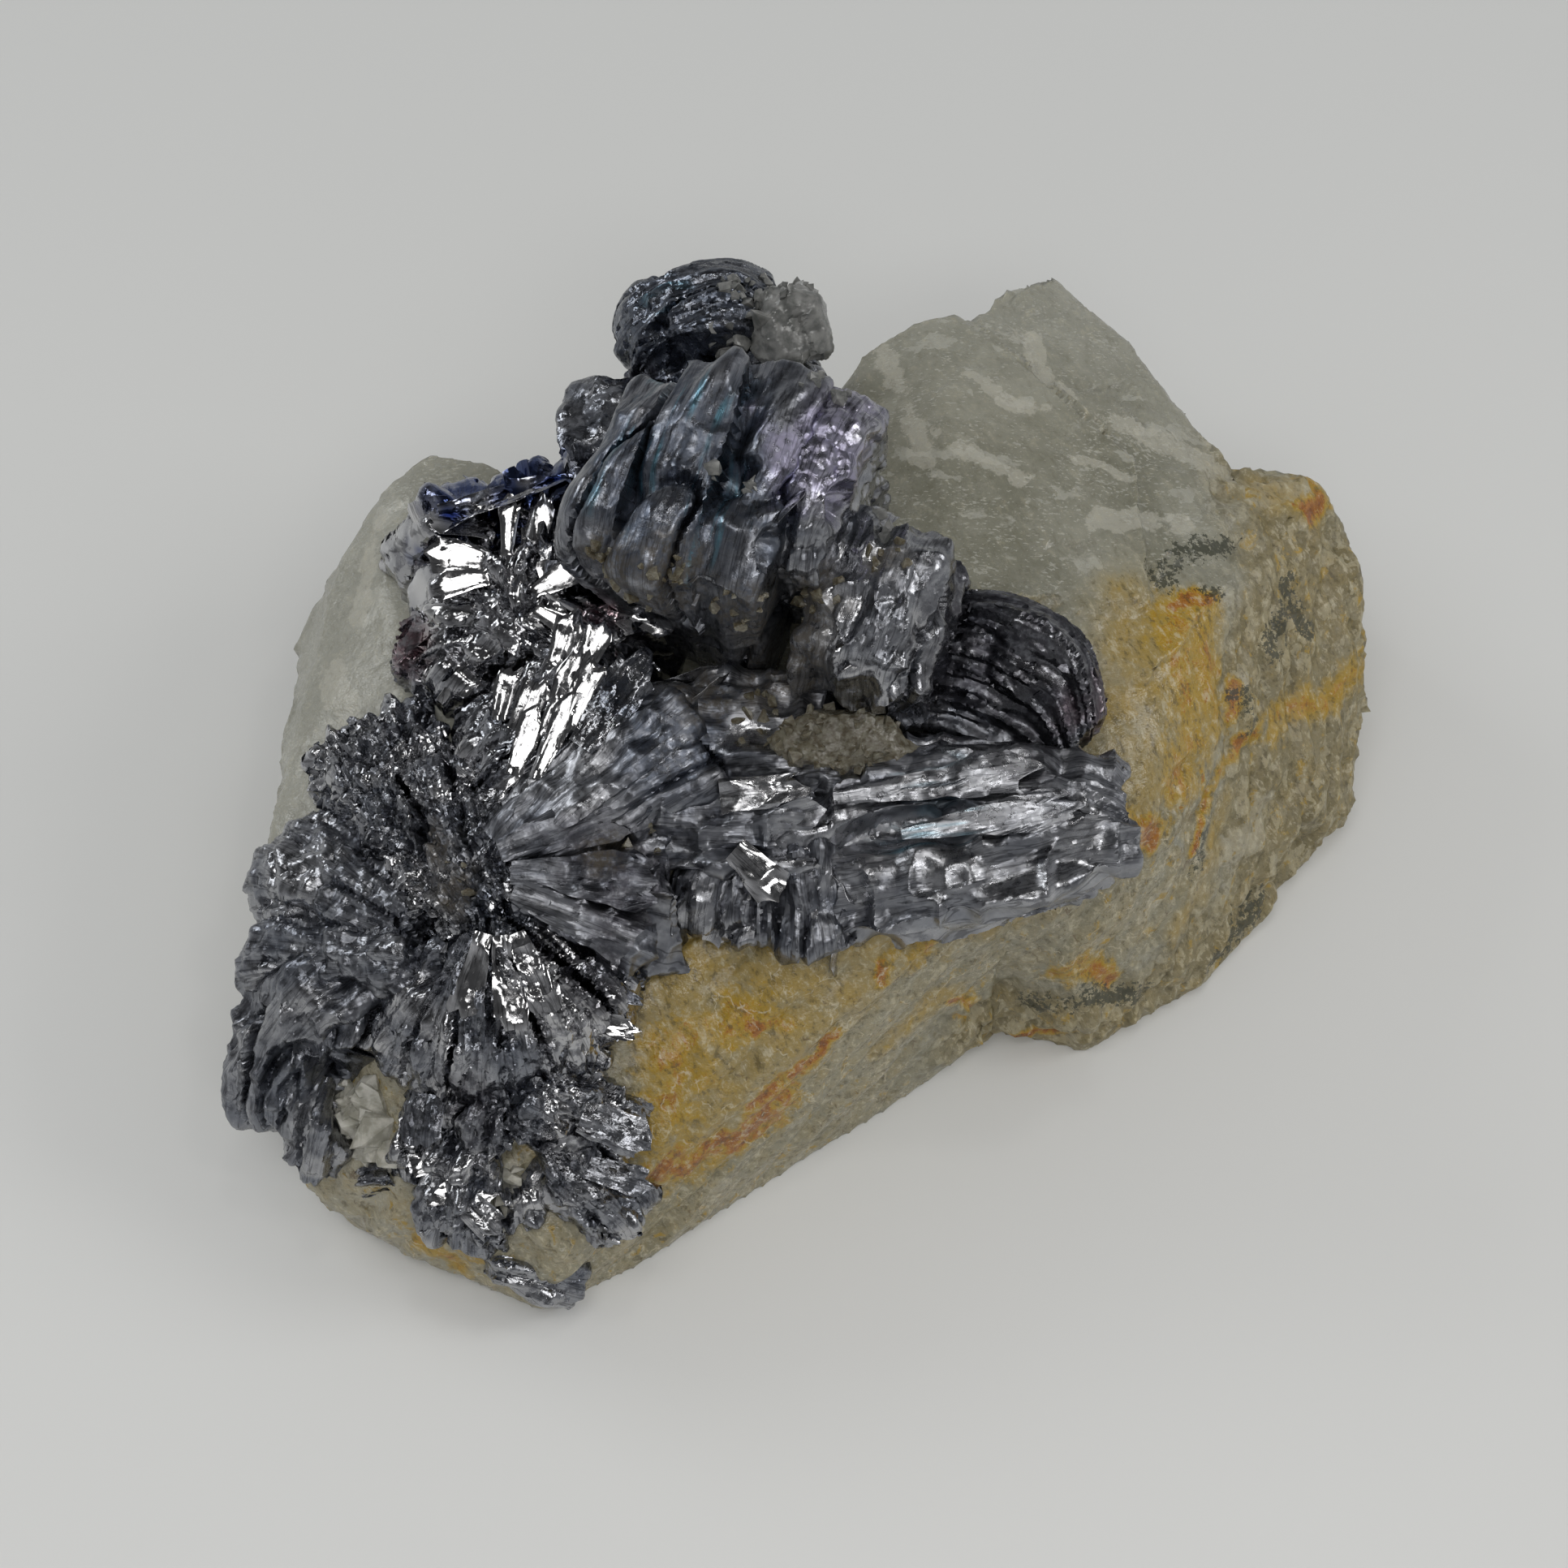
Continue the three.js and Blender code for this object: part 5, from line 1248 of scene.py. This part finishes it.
# Single large sheets: base, way they run, way they face, length, widths at both ends, form.
SHEETS = {
    "mirror_rosette": [
        ((-24.6, 15, 30.3), (1, 0.55, 0.12), (-0.35, 0.75, 0.6), 11, (4, 3.4), dict(curl=-0.8, gloss=0.5)),
        ((-24.9, 16.4, 30.7), (1, 0.28, 0.08), (0.05, -0.75, 0.66), 5.5, (1.2, 1.6), dict(gloss=0.9)),
        ((-20, 18, 31.3), (1, 0.1, 0.06), (0.05, -0.7, 0.7), 6, (1.6, 1.4), dict(gloss=1)),
        ((-23.2, 16.8, 30.4), (-0.15, 1, -0.35), (-0.2, 0.35, 0.9), 5.4, (6, 3.4), RIM),
        ((-18.8, 18.2, 31), (0.05, 1, -0.4), (0, 0.4, 0.9), 4.8, (5.6, 3.2), RIM),
        ((-21.4, 12.8, 30), (-1, 0.12, 0.04), (-0.02, -0.41, 0.91), 4.2, (1.6, 2.8), {**STRIPED, "gloss": 1}),
        ((-21.2, 11.6, 29.6), (-1, -0.16, -0.08), (-0.04, -0.4, 0.92), 4, (1.2, 2), LIT),
        ((-20.9, 15, 30.6), (-1, 0.25, 0), (0.12, 0.25, 0.96), 4.6, (2, 3.2), LIT),
        ((-19.9, 13.2, 29.9), (0.05, 1, 0.45), (-0.03, -0.41, 0.91), 4.4, (0.9, 1.7), LIT),
        ((-18.6, 13.6, 30.3), (0.3, 1, 0.45), (-0.45, -0.1, 0.89), 4.4, (0.7, 1.3), LIT),
        ((-17.6, 13.4, 30.5), (0.15, 1, 0.45), (-0.03, -0.41, 0.91), 4, (0.8, 1.5), LIT),
        ((-16.2, 13.2, 30.9), (0.35, 1, 0.4), (0.35, -0.4, 0.85), 4, (0.8, 1.4), LIT),
        ((-17.8, 9.4, 30.9), (0.9, 0.5, 0.22), (-0.03, -0.4, 0.92), 4.2, (0.9, 2.2), LIT),
        ((-17.6, 8.2, 30.7), (0.9, -0.5, -0.22), (-0.03, -0.4, 0.92), 4.4, (0.9, 2), LIT),
        ((-14.6, 11.4, 31.3), (0.9, -0.5, -0.22), (-0.03, -0.4, 0.92), 3.2, (0.9, 1.8), LIT),
    ],
    "foil_zone": [
        ((-18.8, -4.8, 29.5), (0.36, 0.86, 0.353), (-0.06, -0.37, 0.93), 5, (1, 2), STRIPED),
        ((-17.2, -5.2, 29.8), (0.42, 0.86, 0.353), (-0.01, -0.35, 0.93), 6.2, (0.9, 1.8), STRIPED),
        ((-18.4, -1.8, 30.4), (0.36, 0.86, 0.353), (-0.1, -0.37, 0.93), 4, (1.6, 2.4), STRIPED),
        ((-16.5, -2.4, 30.7), (0.4, 0.86, 0.353), (-0.03, -0.37, 0.93), 6.4, (1.2, 2.2), STRIPED),
        ((-14.9, -2, 31.1), (0.42, 0.86, 0.353), (0.02, -0.34, 0.94), 5.4, (1.2, 1.8), STRIPED),
        ((-15.8, 2.6, 31.9), (0.3, 0.86, 0.353), (-0.05, -0.38, 0.92), 4, (1.6, 2.4), STRIPED),
        ((-14, 2.2, 32), (0.4, 0.86, 0.353), (-0.01, -0.38, 0.92), 3.6, (1.2, 2), STRIPED),
        ((-19.9, -0.6, 29.9), (0.2, 0.9, 0.37), (-0.06, -0.38, 0.92), 3.6, (1, 1.8), STRIPED),
        ((-14, -3.6, 31.4), (0.7, 1, 0.2), (0.1, -0.3, 0.93), 8, (2, 3.6), dict(gloss=0.15)),
    ],
    "middle_ridges": [
        ((-19.4, -10.8, 29.4), (1, 0.42, 0.06), (-0.15, -0.25, 0.95), 11, (1.6, 4.6),
         dict(gloss=0, flute=0.05, crumple=0.3)),
        ((-18.6, -12.2, 29.2), (1, -0.06, -0.03), (-0.1, -0.3, 0.95), 10.4, (1.6, 4.4),
         dict(gloss=0, flute=0.04, crumple=0.32)),
        ((-18.4, -13.4, 28.9), (1, -0.34, -0.2), (0.1, -0.3, 0.93), 9.6, (1.6, 4.6),
         dict(gloss=0.1, flute=0.04, crumple=0.32)),
        ((-4.4, -7, 30.5), (1, 0.1, 0.02), (0.05, -0.35, 0.93), 6, (2.6, 2.2), dict(gloss=0.6)),
        ((-3.4, -10.2, 28.7), (0.8, -0.7, -0.3), (-0.25, -0.45, 0.85), 4.6, (2, 3), dict(gloss=0.9)),
    ],
    "bottom_fan": [
        ((-15.6, -19.4, 22.1), (1, -0.22, -0.12), (0, -0.35, 0.93), 5.6, (1, 1.7), dict(gloss=1, curl=0.7)),
        ((-14.4, -17.4, 23.9), (1, -0.34, -0.22), (0.25, -0.55, 0.8), 5, (3, 0.7), dict(gloss=0)),
        ((-20.4, -16, 27.5), (-0.3, -1, -0.62), (-0.2, -0.5, 0.84), 6, (1.2, 2.6), dict(gloss=0.9)),
        ((-19.2, -16.2, 27.5), (0.15, -1, -0.62), (0.1, -0.45, 0.88), 6.6, (1.2, 2.4), dict(gloss=0.9)),
        ((-18.2, -16, 27.5), (0.5, -1, -0.6), (-0.1, -0.42, 0.9), 6, (1.2, 2.4), dict(gloss=0.7)),
        ((-24.6, -23.6, 17.9), (-0.2, -1, -0.45), (-0.25, -0.42, 0.87), 3.6, (2.6, 3.2), dict(gloss=0)),
        ((-26, -27.4, 13.9), (1, 0.3, 0.12), (-0.02, -0.3, 0.95), 4.4, (1.4, 2.4), STRIPED),
        ((-25, -29, 12.9), (1, 0.1, 0.05), (-0.02, -0.29, 0.95), 5, (1.6, 2.6), STRIPED),
        ((-22.4, -29.4, 12.9), (0.6, -0.5, -0.3), (-0.1, -0.5, 0.86), 3.4, (2, 2.4), dict(gloss=0.5)),
        ((-14, -25.4, 18.1), (1, -0.3, -0.25), (0.1, -0.5, 0.85), 5, (2.2, 3), dict(gloss=0.2)),
        ((-13.6, -27.8, 14.9), (1, -0.2, -0.3), (0.05, -0.5, 0.86), 4.6, (1.6, 2.2), dict(gloss=0.1)),
    ],
    "lath_bundle": [
        ((3.4, -7.3, 30.6), (1, 0.12, 0.1), (0, -0.34, 0.94), 14, (0.8, 3.2), LATH),
        ((8, -9.8, 30.2), (1, 0.14, 0.09), (-0.06, -0.38, 0.92), 12, (0.8, 3), LATH),
    ],
    "tower_rosette": [
        ((-0.6, 4.4, 46.7), (0.8, 1, 0.1), (-0.7, 0.1, 0.7), 3.2, (0.9, 1.2), dict(gloss=0.9, flute=0.02)),
    ],
}

# The pieces: material, then the looks of the packs in each. Chips: how many and their size.
# Sheets: how many, their length, width and form.
PIECES = {
    "tower_rosette": (SMOOTH, {
        "tower": dict(
            heave=0.4, bundle=3.6, crevice=1.2, step=0.9, lines=0.02, plates=0.16, plate=(9, 1.8),
            crumbs=0.02, gloss=(0, 0.2), slant=-0.24,
        ),
        "tower_side": dict(
            heave=0.4, bundle=3, crevice=0.4, step=0.4, lines=0.04, plates=0.2, plate=(1.5, 1.2), crumb=0.9,
            crumbs=0.2, gloss=(0.1, 0.3),
        ),
    }),
    "right_boss": (BRUSHED, {
        "right_boss": dict(
            heave=1.1, crevice=0.6, plates=0.35, plate=(2.6, 1.6), gloss=(0.1, 0.45),
            sheets=(5, 3.4, 2.4, {}),
        ),
    }),
    "dark_petal": (SMOOTH, {
        "dark_petal": dict(
            heave=0.12, bundle=1.6, crevice=0.25, step=0.35, lines=0.12, slit=0.7, slits=0.2, plates=0.16,
            plate=(8, 0.9), crumbs=0.03, rake=1, chips=(30, 0.34),
        ),
    }),
    "back_rosette": (LEAF, {
        "back_rosette": dict(
            heave=0.25, bundle=1.8, crevice=0.9, step=0.5, slit=0.8, slits=0.45, plates=0.22, plate=(5, 0.9),
            crumbs=0.03, gloss=(0, 0.1),
        ),
        "edgewise_stack": dict(
            heave=0.4, bundle=1.3, crevice=1.2, step=0.9, slit=0.7, slits=0.5, plates=0.35, gloss=(0, 0.2),
            chips=(20, 0.5),
        ),
    }),
    "mirror_rosette": (MIRROR, {
        "mirror_rosette": dict(
            heave=0.3, lines=0.02, plates=0.95, plate=(4.2, 1.7), tilt=1.9, crumbs=0, gloss=(0.5, 0.5),
            chips=(60, 0.5), sheets=(46, 3, 1.5, BLADES),
        ),
        "left_lump": dict(heave=0.5, plates=0.5, plate=(1.3, 1), gloss=(0.2, 0.6), chips=(70, 0.36)),
    }),
    "foil_zone": (MIRROR, {
        "foil_zone": dict(
            heave=0.5, lines=0.06, plates=0.6, plate=(5, 1.1), tilt=1.6, gloss=(0.2, 0.7), chips=(120, 0.36),
        ),
    }),
    "middle_ridges": (SATIN, {
        "grey_ridge": dict(heave=0.5, bundle=3.5, crevice=0.4, plates=0.22, plate=(7, 1.6), gloss=(0, 0.25)),
        "middle_ridge": dict(
            heave=1.1, crevice=0.8, plates=0.4, plate=(4, 2), gloss=(0.05, 0.45), sheets=(5, 5, 3, {}),
        ),
        "centre_plates": dict(heave=0.7, crevice=0.8, plates=0.3, plate=(5, 2.6), gloss=(0, 0.1)),
        "edge_plates": dict(heave=0.7, plates=0.4, chips=(20, 0.4), sheets=(4, 4, 2.5, dict(gloss=0.5))),
    }),
    "lath_bundle": (SATIN, {
        "lath_bundle": dict(
            heave=1, bundle=4.6, crevice=0.35, step=0.6, lines=0.04, plates=0.2, plate=(6, 1.9), crumbs=0.04,
            gloss=(0.1, 0.3),
        ),
    }),
    "left_fan": (LEAF, {
        "fan_centre": dict(
            heave=0.5, crevice=1.1, plates=0.55, plate=(1.7, 0.8), tilt=1.8, crumb=0.7, crumbs=0.34,
            gloss=(0, 0.6), chips=(520, 0.34),
        ),
    }),
    "left_lobe": (BRUSHED, {
        "left_lobe": dict(heave=0.4, crevice=0.5, plates=0.25, plate=(2.2, 1.3), crumb=1, crumbs=0.26),
    }),
    "lower_left_bundle": (BRUSHED, {
        "lower_left_bundle": dict(
            heave=0.7, bundle=2.2, crevice=1.2, step=0.6, lines=0.06, plates=0.45, plate=(3.4, 1.2),
            gloss=(0, 0.35), chips=(20, 0.4),
        ),
    }),
    "bottom_fan": (LEAF, {
        "bottom_fan": dict(
            heave=0.4, bundle=2.2, crevice=0.9, plates=0.5, plate=(4, 1), gloss=(0, 0.7), chips=(60, 0.36),
        ),
        "foot_rosette": dict(
            heave=0.6, plates=0.6, plate=(2.4, 1.3), tilt=1.8, gloss=(0, 0.6), chips=(80, 0.45),
        ),
    }),
}


def grown(groups, salt):
    """The surface, sheets and chips of some packs."""
    parts = []
    for number, (group, look) in enumerate(groups.items()):
        own = salt + 101 * number
        growth = Growth(group, look, own)
        parts.append(growth.part())
        if "chips" in look:
            parts.append(scattered_chips(growth, *look["chips"], own + 3))
        if "sheets" in look:
            amount, length, width, form = look["sheets"]
            parts += shingles(growth, amount, length, width, own + 5, **form)
    return parts


def molybdenite_piece(name, material, groups, salt, *nodes):
    """Makes one piece from its packs and its single sheets."""
    parts = grown(groups, salt)
    for number, (base, along, out, length, widths, form) in enumerate(SHEETS.get(name, ())):
        parts.append(petal(base, along, out, length, widths, salt + SHEET_SEEDS + 13 * number, **form))
    points, faces, grain, gloss = joined(parts)
    points[:, 2] = np.maximum(points[:, 2], TABLE_CLEAR)
    SURFACES[name] = points, vertex_normals(points, faces)
    values = {"gloss": gloss, **tint_masks(points)}
    piece = new_object(name, points, faces, LEAF_EDGE, values, {"grain": grain})
    finished(piece, material, "molybdenite", *nodes)


for number, (name, (material, groups)) in enumerate(PIECES.items()):
    molybdenite_piece(name, material, groups, 1000 * (number + 1), ROSETTES)
for number, name in enumerate(("foot_crystal", "left_crystal")):
    look = dict(heave=0.2, crevice=0.3)
    molybdenite_piece(name + "_leaves", LEAF, {name: look}, 20000 + 1000 * number, name)


def small_crystals(node, material, slot, size, strength):
    """A cluster of quartz crystals: the node's surface broken into facets of one size."""
    points, faces = remeshed(*node_mesh(node), CRYSTAL_NET)
    points = smoothed(points, faces, 3)
    normals = vertex_normals(points, faces)
    points = points + normals * (strength * plates(points, size, 5, 1.6))[:, None]
    points = chiselled(points, faces, 0.8 * size, 0.7, 0.3, 9, 0.5)
    SURFACES[node] = points, normals
    finished(new_object(node + "_grown", points, faces, CRYSTAL_EDGE), material, slot, node)


small_crystals("quartz_knob", CLEAR, "milky_quartz", 1.9, 0.55)
small_crystals("quartz_pocket", STAINED, "stained_quartz", 1.3, 0.45)


def grain_of_quartz(centre, out, size, salt):
    """One broken crystal: a closed hull of a few corners, a little longer the way it points."""
    number = np.arange(13)
    corners = unit(np.stack([hashed(number, salt, axis) - 0.5 for axis in range(3)], 1))
    corners = corners * size * (0.75 + 0.4 * hashed(number, salt, 5))[:, None]
    corners = corners + 0.35 * (corners @ out)[:, None] * out
    made, hull = convex_hull(corners + centre)
    bmesh.ops.delete(made, geom=list(set(hull["geom_interior"] + hull["geom_unused"])), context="VERTS")
    bmesh.ops.recalc_face_normals(made, faces=made.faces)
    made.verts.index_update()
    points = np.array([vertex.co for vertex in made.verts])
    faces = np.array([[vertex.index for vertex in face.verts] for face in made.faces])
    made.free()
    return points, faces


def quartz_grains(name, material, slot, spots, salt):
    """Grains set into the finished surfaces near some places."""
    parts = []
    for place, (surface, centre, radius, amount, size) in enumerate(spots):
        points, normals = SURFACES[surface]
        away = np.linalg.norm(points - centre, axis=1)
        near = np.flatnonzero((away < radius) & (normals[:, 2] > -0.5))
        for n in range(amount if len(near) else 0):
            own = salt + 97 * place + n
            chosen = near[int(hashed(own, 3, 1) * len(near))]
            out = normals[chosen]
            wide = size * (0.55 + 0.9 * float(hashed(own, 3, 2)) ** 2)
            parts.append(grain_of_quartz(points[chosen] - 0.25 * wide * out, out, wide, own))
    points, faces = joined(parts)
    points[:, 2] = np.maximum(points[:, 2], TABLE_CLEAR)
    finished(new_object(name, points, faces, GRAIN_EDGE), material, slot)


GRAINS = {  # material, slot, seed, then places: surface, centre, radius, how many, size
    "clear_grains": (CLEAR, "milky_quartz", 400, [
        ("tower_rosette", (-3.3, 8, 47.2), 1.4, 9, 0.5), ("tower_rosette", (2.6, 16, 48), 2.4, 12, 0.5),
        ("back_rosette", (-3.2, 31.2, 37.2), 2, 14, 0.6), ("back_rosette", (-4.6, 27.8, 35.6), 1.8, 10, 0.7),
        ("back_rosette", (-1.8, 32.6, 36.4), 2, 10, 0.6), ("quartz_knob", (-0.8, 31.4, 36.8), 3.4, 22, 0.7),
        ("right_boss", (6.2, 9.4, 40.8), 2.4, 10, 0.6),
    ]),
    "window_grains": (MILKY, "milky_quartz", 600, [
        ("quartz_lump", (-30.5, -21.8, 12.3), 2.6, 22, 1.5),
        ("quartz_lump", (-29.2, -24.2, 11.3), 2.2, 16, 1.3),
        ("quartz_lump", (-31.6, -22.6, 10.5), 2.2, 10, 1.1), ("quartz_lump", (-12.9, -20.7, 16.6), 2, 6, 0.8),
        ("quartz_lump", (-18.6, -29, 11.6), 2.4, 14, 1.1),
    ]),
    "brown_grains": (STAINED, "stained_quartz", 800, [
        ("tower_rosette", (-12, 3.7, 43.4), 1.8, 7, 0.7), ("tower_rosette", (-8.6, 1.5, 43.2), 2.8, 14, 0.45),
        ("tower_rosette", (-3.4, 0.4, 41.6), 2.8, 14, 0.5), ("right_boss", (2.4, 3.4, 39), 2.2, 9, 0.6),
        ("quartz_pocket", (2, -1.6, 32), 6, 60, 0.6), ("middle_ridges", (-2, -1.2, 30.6), 2.2, 12, 0.6),
        ("middle_ridges", (-9.8, -9.3, 27.9), 1.5, 5, 0.5), ("left_fan", (-22, -12, 27.4), 2, 8, 0.35),
        ("right_boss", (6.8, 5.2, 41.3), 1.8, 7, 0.5),
    ]),
}
for name, (material, slot, salt, spots) in GRAINS.items():
    quartz_grains(name, material, slot, spots, salt)

# ---- floor, light and camera ----------------------------------------------------------

FLOOR_REACH = 1200  # mm
FLOOR_CORNERS = 96
FLOOR_TOP = -0.02  # mm
LIGHT_TARGET = (0, 0, 0.02)  # where the lights point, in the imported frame's metres
LIGHTS = {  # place in metres, sizes, power, colour
    "left_window": ((-0.50, 0.30, 0.40), (0.30, 0.20), 0.70, (0.97, 0.99, 1.0)),
    "right_window": ((0.52, 0.02, 0.44), (0.24, 0.26), 0.78, (1.0, 0.99, 0.97)),
    "front_panel": ((0.06, -0.46, 0.56), (0.34, 0.12), 0.62, (1.0, 0.99, 0.98)),
    "ceiling": ((-0.12, -0.15, 0.70), (0.32, 0.20), 0.62, (1.0, 0.99, 0.97)),
    "lamp_a": ((0.05, 0.12, 0.70), (0.05, 0.05), 0.12, (1.0, 0.98, 0.95)),
    "lamp_b": ((0.20, -0.12, 0.66), (0.05, 0.05), 0.12, (1.0, 0.98, 0.95)),
}
CAMERA_DOWN = math.radians(60)  # angle that the camera looks down at
CAMERA_FAR = 230  # mm from its target
CAMERA_TARGET = np.array([0, 0, 20]) + SHIFT
PHOTO_SIZE = 1932  # pixels
PHOTO_FOCAL = 3910  # pixels
SENSOR = 36  # mm


def floor_material():
    n = Nodes("pale_floor")
    # painted shade: the floor's colour darkens towards the back in place of the light falling off there
    far = n.between(n.parts(n.place)[1], -140, 160)
    colour = n.mix(far, (0.745, 0.745, 0.725), (0.635, 0.64, 0.625))
    n.set(Base_Color=colour, Roughness=0.38)
    return n.material


def add_floor():
    """A wide round table top, a hair under the lump."""
    turn = np.linspace(0, 2 * np.pi, FLOOR_CORNERS, endpoint=False)
    rim = [FLOOR_REACH * np.cos(turn), FLOOR_REACH * np.sin(turn), np.full(FLOOR_CORNERS, FLOOR_TOP)]
    floor = new_object("floor", np.stack(rim, 1) - SHIFT, [list(range(FLOOR_CORNERS))])
    floor.data.materials.append(floor_material())


def add_light(name, place, size, power, colour):
    data = bpy.data.lights.new(name, "AREA")
    data.shape = "RECTANGLE"
    data.size, data.size_y = size
    data.energy = power
    data.color = colour
    lamp = bpy.data.objects.new(name, data)
    lamp.location = place
    lamp.rotation_euler = (Vector(LIGHT_TARGET) - Vector(place)).to_track_quat("-Z", "Y").to_euler()
    bpy.context.scene.collection.objects.link(lamp)


def add_world():
    """A white room: even light for dull surfaces, and a dim ceiling over a pale horizon to be mirrored."""
    world = bpy.data.worlds.new("room")
    world.use_nodes = True
    tree = world.node_tree
    place = tree.nodes.new("ShaderNodeTexCoord")
    split = tree.nodes.new("ShaderNodeSeparateXYZ")
    ramp = tree.nodes.new("ShaderNodeMapRange")
    rays = tree.nodes.new("ShaderNodeLightPath")
    choice = tree.nodes.new("ShaderNodeMix")
    tree.links.new(place.outputs["Generated"], split.inputs[0])
    tree.links.new(split.outputs[2], ramp.inputs["Value"])
    for key, value in (("From Min", 0.0), ("From Max", 0.7), ("To Min", 0.38), ("To Max", 0.06)):
        ramp.inputs[key].default_value = value
    tree.links.new(rays.outputs["Is Glossy Ray"], choice.inputs["Factor"])
    choice.inputs["A"].default_value = 0.43
    tree.links.new(ramp.outputs[0], choice.inputs["B"])
    background = tree.nodes["Background"]
    background.inputs[0].default_value = (0.97, 0.98, 1.0, 1)
    tree.links.new(choice.outputs[0], background.inputs[1])
    bpy.context.scene.world = world


def add_camera():
    away = CAMERA_FAR * np.array([0, math.cos(CAMERA_DOWN), -math.sin(CAMERA_DOWN)])
    data = bpy.data.cameras.new("camera")
    data.sensor_width = SENSOR
    data.lens = PHOTO_FOCAL / PHOTO_SIZE * SENSOR
    data.clip_start = 0.01
    camera = bpy.data.objects.new("camera", data)
    camera.location = (CAMERA_TARGET - away) * MM
    camera.rotation_euler = (math.pi / 2 - CAMERA_DOWN, 0, 0)
    bpy.context.scene.collection.objects.link(camera)
    bpy.context.scene.camera = camera


add_floor()
for name, values in LIGHTS.items():
    add_light(name, *values)
add_world()
bpy.context.scene.view_settings.view_transform = "Standard"
add_camera()
